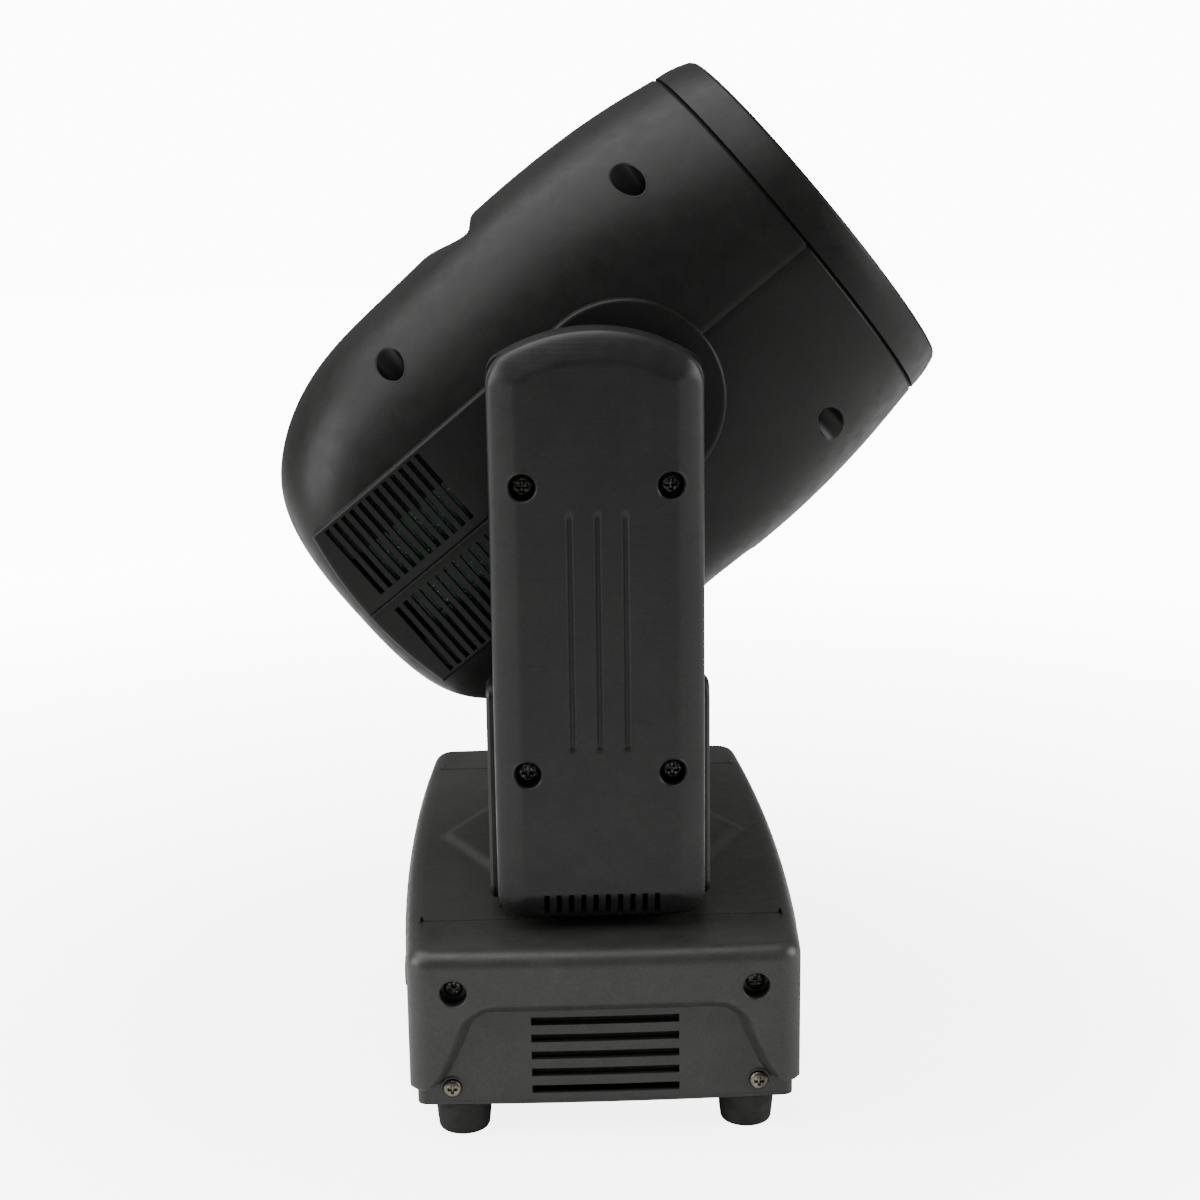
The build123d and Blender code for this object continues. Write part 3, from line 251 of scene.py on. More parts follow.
def square_to(axis, lean):
    """An axis and two unit vectors square to it; the first is square to direction lean as well, if it can be."""
    axis = np.array(axis, float)
    across = np.cross(axis, np.eye(3)[lean if abs(axis[lean]) < 0.9 else 0])
    across = across / np.linalg.norm(across)
    return axis, across, np.cross(axis, across)


def lathe(profile, centre, axis, turns=64):
    """A profile of (radius, height) pairs carried round an axis from centre, as a grid of points."""
    axis, across, other = square_to(axis, 1)
    turn = np.linspace(0, 2 * math.pi, turns + 1)
    turn[-1] = 0
    profile = np.array(profile, float)
    radius = profile[:, 0, None, None]
    height = profile[:, 1, None, None]
    round_way = np.cos(turn)[:, None] * across + np.sin(turn)[:, None] * other
    return np.array(centre) + radius * round_way + height * axis


def pocket(centre, radius, height, floor, lip=0.5, rim=0.5, turns=48):
    """A round pocket in a height field: a lip on the surface, a rounded rim, a straight wall, a flat floor.

    Returns the two plan coordinates and the height as grids of rings by turns.
    """
    turn = np.linspace(0, 2 * math.pi, turns + 1)
    turn[-1] = 0
    rings = [radius + lip, radius + 0.1, radius - 0.1, radius - rim, radius - rim, radius - 1.1, 0]
    rings = np.array(rings)[:, None]
    x = centre[0] + rings * np.cos(turn)
    y = centre[1] + rings * np.sin(turn)
    top = height(x[:4], y[:4])
    sink = np.array([0.04, -0.01, 0.05, rim])[:, None]
    level = np.full((3, turns + 1), float(floor))
    level[0] += 0.6
    return x, y, np.concatenate([top - sink, level])


# ---- head ---------------------------------------------------------------------------------------
def head_at(along, side, up):
    """Points along the head's axis, to its side and up from its split plane, in the row frame."""
    along, side, up = np.broadcast_arrays(along, side, up)
    return TILT_POINT + along[..., None] * HEAD_DIR + side[..., None] * SIDE_DIR + up[..., None] * HEAD_UP


def head_curve(count):
    """Axis, half height and half width of the head's body from ring to dome, as a spline with an upright end."""
    front = np.array(HEAD_STATIONS, float)
    mirrored = front[-2::-1] * (1, -1, -1)
    return through(np.concatenate([front, mirrored]), 2 * count - 1)[:count]


CURVE = head_curve(600)


def head_fullness(along):
    """Exponent of the head's superellipse section: 2 is an ellipse at the ring, fuller further back."""
    return 2 + 0.6 * smooth((HEAD_STATIONS[0][0] - along) / 110)


def head_size(along):
    """Half height and half width of the head's body at stations along its axis."""
    order = CURVE[::-1]
    return np.interp(along, order[:, 0], order[:, 1]), np.interp(along, order[:, 0], order[:, 2])


def head_height(along, side):
    """Height of the head's body above its split plane: a superellipse over the side distance."""
    tall, wide = head_size(along)
    power = head_fullness(along)
    share = np.clip(np.abs(side) / np.maximum(wide, 1e-6), 0, 1)
    return tall * (1 - share**power) ** (1 / power)


def scoop(along, side):
    """Depth of the shallow scoop across the top of each shell: steep at its front, gentle behind."""
    front = smooth((19 - along) / 9)
    behind = smooth((along + 17) / 27)
    across = smooth((46 - np.abs(side)) / 10)
    return 5.6 * front * behind * across


def shell_body(way, rows=176, columns=168):
    """Half of the head's body: a superellipse section that changes along a spline, open behind the vents."""
    along = head_curve(rows)[:, 0][:, None]
    tall, wide = head_curve(rows)[:, 1:].T[:, :, None]
    angle = np.linspace(0, math.pi, columns)[None, :]
    power = head_fullness(along)
    flat = np.maximum(wide, 1e-6)
    high = np.maximum(tall, 1e-6)
    radius = ((np.abs(np.cos(angle)) / flat) ** power + (np.sin(angle) / high) ** power) ** (-1 / power)
    side = -radius * np.cos(angle)
    up = radius * np.sin(angle)
    along = along + 0 * side
    hole = np.zeros((rows - 1, columns - 1), bool)
    for at, out in HEAD_SCREWS:
        for hand in (-1, 1):
            along, side, gone, rim = round_hole(along, side, (at, hand * out), 7.5, up > 20)
            up = np.where(rim, head_height(along, side), up)
            hole |= gone
    up = up - scoop(along, side) * (up > 20)
    seam = smooth(1 - up / 1.2)
    side = side - np.sign(side) * 0.8 * seam * (along > BAND_ROUND)
    hem = 1 - HEM_SHRINK * smooth((along - HEM_START) / HEM_LENGTH)
    side = side * hem
    up = up * hem
    behind = (up < BAND_HALF - 2.5) & (along < VENT_START + 8) & (along > VENT_END - 4)
    points = head_at(along, side, way * up)
    return patch(points, TILT_POINT, keep=~(hole | whole(behind)))


def band_side(along):
    """Side distance of the raised band's face: flat, then falling away towards the back as a power curve."""
    return BAND_SIDE - 7 * np.clip((-62 - along) / 84, 0, 1) ** 1.6


def vent_edges():
    """Stations of both edges of each vent, from the back to the front."""
    centres = np.linspace(VENT_END + VENT_W / 2, VENT_START - VENT_W / 2, VENT_COUNT)
    return np.stack([centres - VENT_W / 2, centres + VENT_W / 2], axis=1).ravel()


def shell_band(way, hand):
    """Half of a raised band: a plate from the back edge to a round front, with a rounded lip and vents.

    Rows run along the axis and then round the front. Columns run from the split plane to the lip and down it.
    """
    lip = np.array([2.2, 1.4, 0.75, 0.3, 0.07, 0, 0])
    drop = np.array([0, 0.14, 0.5, 1.0, 1.6, 2.2, 17])
    edges = vent_edges()
    rows = np.concatenate([BAND_BACK + lip[::-1], stations([BAND_BACK + 3.2, *edges, -62, BAND_ROUND], 4)])
    row_inset = np.concatenate([lip[::-1], np.full(len(rows) - len(lip), 9.0)])
    row_drop = np.concatenate([drop[::-1], np.zeros(len(rows) - len(lip))])
    turn = np.linspace(0, math.pi / 2, 25)[1:]
    out = np.concatenate([[0, 0.5, 1.1, 5], stations([5, 46.5], 4)[1:], BAND_HALF - lip])
    out_drop = np.concatenate([np.zeros(len(out) - len(lip)), drop])
    out_drop[:3] = (0.8, 0.3, 0)
    straight = rows[:, None] + 0 * out
    along = np.concatenate([straight, BAND_ROUND + np.sin(turn)[:, None] * out])
    up = np.concatenate([out + 0 * rows[:, None], np.cos(turn)[:, None] * out])
    row_inset = np.concatenate([row_inset, np.full(len(turn), 9.0)])[:, None]
    row_drop = np.concatenate([row_drop, np.zeros(len(turn))])[:, None]
    along = along + 6 * (up / BAND_HALF) ** 2 * smooth((VENT_END - along) / (VENT_END - BAND_BACK))
    sink = np.where(row_inset < 9, np.maximum(out_drop, row_drop), out_drop)
    side = band_side(along) - sink
    slot_rows = np.isin(along[:, 5].round(6), edges.round(6))
    between = slot_rows[:-1] & slot_rows[1:]
    start = np.zeros(len(along) - 1, bool)
    start[np.flatnonzero(between)[::2]] = True
    middle = (out[:-1] >= 5) & (out[1:] <= 46.5)
    keep = ~(start[:, None] & middle[None, :])
    points = head_at(along, hand * side, way * up)
    return patch(points, TILT_POINT + HEAD_DIR * -40, keep=keep)


def slab(low, high, place_at):
    """A plain rectangular sheet between two corners, as its two broad faces and four narrow ones."""
    low = np.array(low, float)
    middle = (low + high) / 2
    spread = np.array([0, 1, 1, 0])[:, None]
    first = middle[0] + spread * (high[0] - middle[0]) * np.array([-1, 1, 1, -1, -1])
    second = middle[1] + spread * (high[1] - middle[1]) * np.array([-1, -1, 1, 1, -1])
    third = np.array([low[2], low[2], high[2], high[2]])[:, None] + 0 * first
    return patch(place_at(first, second, third), place_at(*middle).ravel())


def vent_screens():
    """Dark sheets behind the outer ends of the head's vents: painted shade that stands in for the dark inside of
    the head.
    """
    made = []
    for hand in (-1, 1):
        for way in (-1, 1):
            def inside(along, up, depth, hand=hand, way=way):
                return head_at(along, hand * (SHADE_SHEET_SIDE - depth), way * up)
            made.append(slab((-136, 27, 0), (-68, 45, 1.5), inside))
    return made


def case_shade_sheets():
    """Dark sheets behind the vents of the base's ends: painted shade that stands in for the dark inside of the
    base.
    """
    made = []
    for hand in (-1, 1):
        def inside(x, z, depth, hand=hand):
            return np.stack([x, hand * (CASE_SHADE_SHEET_Y - depth), z], axis=-1)
        made.append(slab((-48, 26, 0), (48, 72, 1.5), inside))
    return made


def boss_ring(hand):
    """Two low ridges round the tilt axis on the head's side: a profile turned about the tilt axis."""
    base = BAND_SIDE - 0.6
    top = -place("upper_shell")[0][1] - 0.02
    profile = [(44.6, base), (45.0, top - 0.35), (45.6, top), (46.4, top), (46.9, top - 0.7), (47.3, top - 0.7),
               (47.8, top), (48.5, top), (49.0, top - 0.3), (49.4, base)]
    return patch(lathe(profile, TILT_POINT, (0, hand, 0), 96), TILT_POINT)


def head_pockets(way):
    """Patches of the deep screw pockets of one shell, which sink straight towards the split plane."""
    made = []
    for at, out in HEAD_SCREWS:
        for hand in (-1, 1):
            along, side, up = pocket((at, hand * out), 7.5, head_height, HEAD_SCREW_FLOOR)
            centre = TILT_POINT + at * HEAD_DIR + hand * out * SIDE_DIR + way * 72 * HEAD_UP
            made.append(patch(head_at(along, side, way * up), centre, hollow=True))
    return made


# ---- arms ---------------------------------------------------------------------------------------
ARM_VENTS = 10
ARM_VENT_PITCH = 6.0
ARM_VENT_W = 2.5
ARM_VENT_TOP = ARM_FOOT + 14.0
GROOVES = (-13.0, 0.0, 13.0)
GROOVE_LOW = 192.0
GROOVE_HIGH = 305.0
GROOVE_W = 2.6
GROOVE_DEPTH = 1.1
ARCH_R = (ARM_HALF**2 + 16.0**2) / (2 * 16.0)
ARCH_Z = ARM_TOP - ARCH_R
FOOT_CORNER = 12.0
TOP_CORNER = 9.0


def arm_inset(x, z):
    """Distance inside the arm's outline: straight sides, arched top, and rounded corners."""
    side = ARM_HALF - np.abs(x)
    bottom = z - ARM_FOOT
    arch = ARCH_R - np.hypot(x, np.maximum(z - ARCH_Z, 0))
    return np.minimum(nearest_edge(side, bottom, FOOT_CORNER), nearest_edge(side, arch, TOP_CORNER))


def arm_face(x, z, sizes):
    """Side distance of the arm's outer face: flat, with a soft sloping margin and engraved plain grooves."""
    inset = arm_inset(x, z)
    share = 1 - inset / (sizes.margin_in / MM)
    slope = (share + np.sqrt(share**2 + 0.05**2)) / 2
    curved = 1 - np.sqrt(1 - np.clip(share, 0, 0.999) ** 2)
    edge = np.clip(1.6 - inset, 0, 1.6)
    rim = 1.6 - np.sqrt(np.maximum(1.6**2 - edge**2, 0))
    groove = np.zeros_like(x)
    for centre in GROOVES:
        reach_z = np.maximum(np.maximum(GROOVE_LOW - z, z - GROOVE_HIGH), 0)
        off = np.hypot(x - centre, reach_z)
        groove = np.maximum(groove, smooth((GROOVE_W / 2 + 0.35 - off) / 0.7))
    face = ARM_OUT - (sizes.margin_down / MM) * (0.7 * slope + 0.3 * curved) - rim
    return face - GROOVE_DEPTH * groove


def arm_top(x):
    """Height of the arm's outline over x: an arc with its ends rounded into the sides."""
    off = np.abs(x)
    high = ARCH_Z + np.sqrt(ARCH_R**2 - off**2)
    corner = np.maximum(off - (ARM_HALF - TOP_CORNER), 0)
    return high - (TOP_CORNER - np.sqrt(np.maximum(TOP_CORNER**2 - corner**2, 0))) * 0.86


def arm_cover(hand, sizes):
    """The outer cover of an arm as a height field with vents and counterbores, and its side wall."""
    vents = (np.arange(ARM_VENTS) - (ARM_VENTS - 1) / 2) * ARM_VENT_PITCH
    vent_sides = np.stack([vents - ARM_VENT_W / 2, vents + ARM_VENT_W / 2], axis=1).ravel()
    margin = np.array([0, 0.3, 0.8, 1.6, 3, 5, 7.5, 10, 12, 13, 14.5])
    right = ARM_HALF - margin[::-1]
    x = np.concatenate([-right[::-1], stations([-right[0], *vent_sides, right[0]], 1.3)[1:-1], right])
    low = ARM_FOOT + margin
    high = ARM_TOP - margin[::-1]
    z = np.concatenate([low[:-2], [ARM_VENT_TOP], stations([ARM_VENT_TOP + 1.2, high[0]], 1.6), high[1:]])
    x, z = np.meshgrid(x, z)
    level = z
    lift = smooth((z - 330) / (ARM_TOP - 330))
    z = z + (arm_top(x) - ARM_TOP) * lift
    bend = np.clip(FOOT_CORNER - (level - ARM_FOOT), 0, FOOT_CORNER)
    half = ARM_HALF - (FOOT_CORNER - np.sqrt(FOOT_CORNER**2 - bend**2))
    outer = np.maximum(np.abs(x) - 30, 0)
    x = np.where(outer > 0, np.sign(x) * (30 + outer * (half - 30) / (ARM_HALF - 30)), x)
    hole = np.zeros((x.shape[0] - 1, x.shape[1] - 1), bool)
    for spot in ARM_SCREWS:
        x, z, gone, _ = round_hole(x, z, spot, 7, np.ones(x.shape, bool))
        hole |= gone
    y = arm_face(x, z, sizes)
    near_vent = np.abs((x - vents[0] + ARM_VENT_PITCH / 2) % ARM_VENT_PITCH - ARM_VENT_PITCH / 2)
    slot = (near_vent < ARM_VENT_W / 2 + 0.01) & (np.abs(x) < vents[-1] + 2)
    slot &= (level < ARM_VENT_TOP + 0.01) & (level > ARM_FOOT + 0.7)
    inside = (0, hand * (ARM_SPLIT + 5), 250)
    face = patch(np.stack([x, hand * y, z], axis=-1), inside, keep=~(hole | whole(slot)))
    loop = [np.concatenate([g[0, :-1], g[:-1, -1], g[-1, :0:-1], g[::-1, 0]]) for g in (x, y, z)]
    depth = np.array([0, 0.5, 1])[:, None]
    wall_y = loop[1] + (ARM_SPLIT - loop[1]) * depth
    wall = np.stack([loop[0] + 0 * wall_y, hand * wall_y, loop[2] + 0 * wall_y], axis=-1)
    return [face, patch(wall, inside)]


def arm_pockets(hand, sizes):
    """Counterbores of the arm's four cover screws."""
    made = []
    for spot in ARM_SCREWS:
        x, z, y = pocket(spot, 7, lambda x, z: arm_face(x, z, sizes), ARM_OUT - 9)
        centre = (spot[0], hand * (ARM_OUT - 4), spot[1])
        made.append(patch(np.stack([x, hand * y, z], axis=-1), centre, hollow=True))
    return made


# ---- base ---------------------------------------------------------------------------------------
CAP_SCREWS = ((-73.0, 78.2), (73.0, 78.2))
CASE_SCREWS = ((-75.0, 26.0), (75.0, 26.0))
CAP_CORNER = 12.0
CAP_HEM = 2.0                        # radius of the rounded lower edge of each end cap
SEAM_GAP = 0.8                       # gap between each end cap's top and the top cover
ARCH_SIDES = ((8, 35, 52, 72), (103, 83, 75, 68))    # heights and half widths of the arch in each end
ARCH_TOP = 72.0


def side_x(y):
    """Half width of the base at y: a shallow bow."""
    return END_X + SIDE_BOW * (1 - (y / (END_Y - END_BOW)) ** 2)


def end_y(x):
    """Distance of the base's end face from its middle at x: a shallow bow."""
    return END_Y - END_BOW * (x / END_X) ** 2


def cap_outline():
    """Plan of an end cap from its seam round both corners and back to the seam, evenly fine."""
    corner_x = side_x(END_Y - CAP_CORNER) - CAP_CORNER
    corner_y = end_y(corner_x) - CAP_CORNER
    turn = np.linspace(0, math.pi / 2, 11)
    y = np.linspace(SEAM_Y, corner_y, 22)[:-1]
    side = np.stack([side_x(y), y], axis=1)
    corner = np.stack([corner_x + CAP_CORNER * np.cos(turn), corner_y + CAP_CORNER * np.sin(turn)], axis=1)
    x = np.linspace(corner_x, 0, 66)[1:]
    end = np.stack([x, end_y(x) + (corner_y + CAP_CORNER - end_y(corner_x)) * (x / corner_x)], axis=1)
    half = np.concatenate([side, corner, end])
    return np.concatenate([half, half[-2::-1] * (-1, 1)])


def arch_depth(x, z):
    """How deep the arch cuts into an end cap: a soft slope that starts at the arch's outline."""
    half = np.interp(z, *ARCH_SIDES)
    inset = nearest_edge((half - np.abs(x)) * 0.9, ARCH_TOP - z, 14)
    share = np.clip(inset / 8.5, 0, 1)
    return 9.8 * (0.45 * share + 0.55 * smooth(share)), inset


def end_cap(hand, sizes):
    """An end cap: its outline carried up a wall, over a rounded shoulder and across its top to the seam."""
    outline = cap_outline()
    radius = sizes.shoulder / MM
    tangent = np.gradient(outline, axis=0)
    tangent = tangent / np.linalg.norm(tangent, axis=1)[:, None]
    inward = np.stack([-tangent[:, 1], tangent[:, 0]], axis=1)
    wall_z = stations([CAP_BOTTOM, CAP_BOTTOM + 0.2, CAP_BOTTOM + 0.7, CAP_BOTTOM + CAP_HEM, PLATE_Z - radius], 1.5)
    x = outline[:, 0] + 0 * wall_z[:, None]
    y = outline[:, 1] + 0 * wall_z[:, None]
    z = wall_z[:, None] + 0 * x
    on_end = y > END_Y - 9
    hole = np.zeros((x.shape[0] - 1, x.shape[1] - 1), bool)
    for spot in CAP_SCREWS:
        x, z, gone, _ = round_hole(x, z, spot, 7, on_end)
        hole |= gone
    cut, inset = arch_depth(x, z)
    y = y - cut * (y > END_Y - 16)
    hem = np.clip(1 - (z - CAP_BOTTOM) / CAP_HEM, 0, 1)
    y = y - CAP_HEM * (1 - np.sqrt(1 - hem**2)) * on_end
    inside = (0, hand * (SEAM_Y + 12), 60)
    wall = patch(np.stack([x, hand * y, z], axis=-1), inside, keep=~(hole | whole((inset > 9.5) & on_end)))
    turn = np.linspace(0, math.pi / 2, 10)[:, None]
    inset = radius * (1 - np.cos(turn))
    shoulder_x = outline[:, 0] + inset * inward[:, 0]
    shoulder_y = np.maximum(outline[:, 1] + inset * inward[:, 1], SEAM_Y)
    shoulder_z = PLATE_Z - radius + radius * np.sin(turn) + 0 * shoulder_x
    share = np.linspace(0, 1, 16)[:, None]
    steps = np.linspace(1, -1, len(outline))
    top_x = shoulder_x[-1] * (1 - share) + share * steps * shoulder_x[-1, 0]
    top_y = shoulder_y[-1] * (1 - share) + share * (SEAM_Y + SEAM_GAP)
    way = np.clip((top_y - SEAM_Y) / (END_Y - radius - SEAM_Y), 0, 1)
    valley = sizes.valley / MM * np.sin(math.pi * way) ** 2
    top_z = PLATE_Z - valley * smooth((side_x(top_y) - radius - np.abs(top_x)) / 12)
    shoulder = patch(np.stack([shoulder_x, hand * shoulder_y, shoulder_z], axis=-1), inside)
    top = patch(np.stack([top_x, hand * top_y, top_z], axis=-1), inside)
    return [wall, shoulder, top]


def cap_pockets(hand):
    """Counterbores of an end cap's two screws."""
    made = []
    for spot in CAP_SCREWS:
        x, z, y = pocket(spot, 7, lambda x, z: end_y(x) - arch_depth(x, z)[0], END_Y - 12)
        centre = (spot[0], hand * (END_Y - 5), spot[1])
        made.append(patch(np.stack([x, hand * y, z], axis=-1), centre, hollow=True))
    return made


def top_cover(sizes):
    """The plate between the end caps: flat with rounded long edges and a soft six-sided pad under the yoke."""
    radius = sizes.shoulder / MM
    margin = np.array([0.4, 0.8, 1.5, 2.5, 4, 6, 9]) / END_X
    half = np.concatenate([stations([0, 1 - margin[-1]], 0.02), 1 - margin[-2::-1]])
    across = np.concatenate([-half[:0:-1], half])
    y = np.linspace(-SEAM_Y + 0.1, SEAM_Y - 0.1, 150)[:, None]
    x = across[None, :] * side_x(y)
    y = y + 0 * x
    inset = side_x(y) - np.abs(x)
    edge = np.clip(radius - inset, 0, radius)
    drop = radius - np.sqrt(radius**2 - edge**2)
    slanted = 76.9 - 0.894 * np.abs(x) - 0.447 * np.abs(y)
    pad = nearest_edge(slanted, 88 - np.abs(y), 12)
    rise = (PAD_TOP - PLATE_Z) * smooth(pad / 6.5)
    z = PLATE_Z - np.minimum(drop, PLATE_Z - CASE_TOP - 0.05) + rise
    around_shaft = np.hypot(x, y) < 33
    return [patch(np.stack([x, y, z], axis=-1), (0, 0, 0), keep=~whole(around_shaft))]


def foot(x, y):
    """A rubber foot: a tapered profile with rounded ends and a recess for its screw, turned about its axis."""
    profile = [(0, 6), (5.2, 6), (5.5, 5.6), (5.5, 0.6), (6.1, 0.05), (11.3, 0), (12.2, 0.35), (12.65, 1.3),
               (13.3, 7), (14.0, FOOT_TOP - 1.2), (13.9, FOOT_TOP - 0.3), (13.2, FOOT_TOP), (0, FOOT_TOP)]
    return patch(lathe(profile, (x, y, 0), (0, 0, 1), 56), (x, y, FOOT_TOP / 2 + 3))



# ---- fasteners ----------------------------------------------------------------------------------
def cross_screw(centre, axis, radius, height, depth):
    """A pan-head screw with a cross recess: a dome over rings and turns, sunk where the cross lies."""
    share = np.concatenate([np.linspace(0, 0.62, 15), [0.7, 0.8, 0.88, 0.94, 0.98, 1.0, 1.0]])[:, None]
    ring = share * radius
    turn = np.linspace(0, 2 * math.pi, 65)[None, :]
    x = ring * np.cos(turn)
    y = ring * np.sin(turn)
    rise = height * np.sqrt(np.maximum(1 - 0.75 * share**4, 0)) + 0 * x
    rise[-1] = -0.3 * height
    arm = np.minimum(np.abs(x), np.abs(y))
    reach = np.maximum(np.abs(x), np.abs(y))
    width = radius * 0.15
    cross = smooth((width * 1.25 - arm) / (width * 0.6)) * smooth((0.58 * radius - reach) / (0.1 * radius))
    rise = rise - depth * cross
    axis, across, other = square_to(axis, 2)
    points = np.array(centre) + x[..., None] * across + y[..., None] * other + rise[..., None] * axis
    return patch(points, np.array(centre) - 30 * axis)


def head_screws():
    """Screws at the floors of the head's eight pockets."""
    made = []
    for way in (-1, 1):
        for at, out in HEAD_SCREWS:
            for hand in (-1, 1):
                centre = head_at(np.array(at), np.array(hand * out), np.array(way * (HEAD_SCREW_FLOOR + 0.1)))
                made.append(cross_screw(centre, way * HEAD_UP, 3.6, 2.4, 1.5))
    return made


def arm_screws():
    """Screws at the floors of the arms' eight counterbores."""
    made = []
    for hand in (-1, 1):
        for x, z in ARM_SCREWS:
            made.append(cross_screw((x, hand * (ARM_OUT - 8.9), z), (0, hand, 0), 5.6, 3.4, 2.2))
    return made


def cap_screws():
    """Black screws deep in the counterbores of the end caps."""
    return [
        cross_screw((x, hand * (END_Y - 11.9), z), (0, hand, 0), 5.2, 3.2, 2.2)
        for hand in (-1, 1) for x, z in CAP_SCREWS
    ]


def case_face(x):
    """Distance of the lower case's end face from the base's middle."""
    return END_Y - 8.1 - END_BOW * (x / END_X) ** 2


def case_screws():
    """Plated screws on the lower case's end faces."""
    return [
        cross_screw((x, hand * (case_face(x) + 0.2), z), (0, hand, 0), 4.3, 2.3, 1.6)
        for hand in (-1, 1) for x, z in CASE_SCREWS
    ]


def case_rings():
    """Rings moulded round the lower case's screws: a low profile turned about each screw."""
    profile = [(4.5, -0.4), (4.6, 0.25), (5.0, 0.5), (5.5, 0.5), (5.9, 0.3), (6.0, -0.4)]
    made = []
    for hand in (-1, 1):
        for x, z in CASE_SCREWS:
            ring = lathe(profile, (x, hand * case_face(x), z), (0, hand, 0), 48)
            made.append(patch(ring, (x, hand * (case_face(x) - 9), z)))
    return made


# ---- finishes -----------------------------------------------------------------------------------
def linear(code):
    """An sRGB hex colour as linear red, green, blue and full alpha."""
    values = [int(code[i:i + 2], 16) / 255 for i in (1, 3, 5)]
    return tuple(v / 12.92 if v <= 0.04045 else ((v + 0.055) / 1.055) ** 2.4 for v in values) + (1.0,)


def add_node(tree, kind, settings=None, inputs=None):
    """Adds a shader node, sets its properties, and sets or links its inputs."""
    node = tree.nodes.new(kind)
    for name, value in (settings or {}).items():
        setattr(node, name, value)
    for name, value in (inputs or {}).items():
        if isinstance(value, bpy.types.NodeSocket):
            tree.links.new(value, node.inputs[name])
        else:
            node.inputs[name].default_value = value
    return node


def new_finish(name):
    """An empty material with an output, and its tree."""
    material = bpy.data.materials.new(name)
    material.use_nodes = True
    material.node_tree.nodes.clear()
    return material, material.node_tree


def surface(tree, inputs, kind="ShaderNodeBsdfPrincipled"):
    """The shader and the output that ends the tree."""
    shader = add_node(tree, kind, inputs=inputs)
    add_node(tree, "ShaderNodeOutputMaterial", inputs={"Surface": shader.outputs[0]})
    return shader


def per_metre(size_mm):
    """Noise scale whose features are about size_mm across."""
    return 1 / (size_mm * MM)


def object_noise(tree, size_mm, detail=2.0, stretch=(1, 1, 1), rough=0.5):
    """Noise on object coordinates with features of a real size, stretched along some axes."""
    where = add_node(tree, "ShaderNodeTexCoord")
    mapped = add_node(tree, "ShaderNodeMapping", inputs={"Vector": where.outputs["Object"], "Scale": stretch})
    scale = {"Vector": mapped.outputs[0], "Scale": per_metre(size_mm), "Detail": detail, "Roughness": rough}
    return add_node(tree, "ShaderNodeTexNoise", inputs=scale).outputs["Fac"]


def ramp(tree, factor, stops):
    """A colour ramp through (place, colour) stops."""
    node = add_node(tree, "ShaderNodeValToRGB", inputs={"Fac": factor})
    for extra in stops[2:]:
        node.color_ramp.elements.new(extra[0])
    for element, (at, colour) in zip(node.color_ramp.elements, sorted(stops)):
        element.position = at
        element.color = colour
    return node.outputs["Color"]


def grey(value):
    """A grey for a ramp that carries a number."""
    return (value, value, value, 1.0)


def bump(tree, height, distance_mm, strength=1.0, normal=None):
    """A bump of that height in millimetres, on top of another normal if there is one."""
    inputs = {"Height": height, "Distance": distance_mm * MM, "Strength": strength}
    if normal is not None:
        inputs["Normal"] = normal
    return add_node(tree, "ShaderNodeBump", inputs=inputs).outputs[0]


def soft_edges(tree, radius_mm):
    """Shading normals that round every edge by a real radius, as a mould or a deburring tool leaves it."""
    return add_node(tree, "ShaderNodeBevel", {"samples": 4}, {"Radius": radius_mm * MM}).outputs[0]


def moulded_plastic(name, dark, light, grain_mm, grain_depth_mm, gloss, specular=0.3, lines=0.0):
    """Glass-filled nylon or ABS out of a spark-eroded mould: a fine even grain, faint clouding in colour and
    gloss, and on some covers shallow cutter lines across the tool. It gives a dull black with soft highlights."""
    material, tree = new_finish(name)
    clouds = object_noise(tree, 28, 4)
    speckle = object_noise(tree, grain_mm, 3, rough=0.65)
    cloud_colour = ramp(tree, clouds, [(0.2, dark), (0.8, light)])
    fleck = ramp(tree, speckle, [(0.40, grey(0.72)), (0.62, grey(1.0))])
    mix = {"data_type": "RGBA", "blend_type": "MULTIPLY"}
    colour = add_node(tree, "ShaderNodeMix", mix, {0: 1.0, 6: cloud_colour, 7: fleck}).outputs[2]
    shine = ramp(tree, object_noise(tree, 9, 5), [(0.3, grey(gloss - 0.05)), (0.7, grey(gloss + 0.07))])
    normal = soft_edges(tree, 0.5)
    if lines > 0:
        marks = object_noise(tree, 1.1, 2, stretch=(0.02, 0.02, 1))
        normal = bump(tree, marks, lines, 0.6, normal)
    normal = bump(tree, speckle, grain_depth_mm, 0.9, normal)
    surface(tree, {"Base Color": colour, "Roughness": shine, "Specular IOR Level": specular, "Normal": normal})
    return material


def powder_coat(name, dark, light, gloss):
    """Epoxy powder baked on steel: an orange-peel skin with a soft sheen over a near-black colour."""
    material, tree = new_finish(name)
    peel = object_noise(tree, 1.4, 3)
    colour = ramp(tree, object_noise(tree, 14, 4), [(0.35, dark), (0.65, light)])
    shine = ramp(tree, peel, [(0.3, grey(gloss - 0.06)), (0.7, grey(gloss + 0.08))])
    normal = bump(tree, peel, 0.05, 0.8, soft_edges(tree, 0.4))
    surface(tree, {"Base Color": colour, "Roughness": shine, "Normal": normal})
    return material


def plated_steel(name, pale, deep, gloss, stretch=(1, 1, 1), size_mm=0.9):
    """Zinc-plated or turned metal: a bright grey with rolling or turning lines and faint dull patches."""
    material, tree = new_finish(name)
    lines = object_noise(tree, size_mm, 4, stretch)
    colour = ramp(tree, object_noise(tree, 6, 4), [(0.35, deep), (0.65, pale)])
    shine = ramp(tree, lines, [(0.3, grey(gloss - 0.07)), (0.7, grey(gloss + 0.12))])
    normal = bump(tree, lines, 0.02, 0.7, soft_edges(tree, 0.25))
    surface(tree, {"Base Color": colour, "Roughness": shine, "Metallic": 1.0, "Normal": normal})
    return material


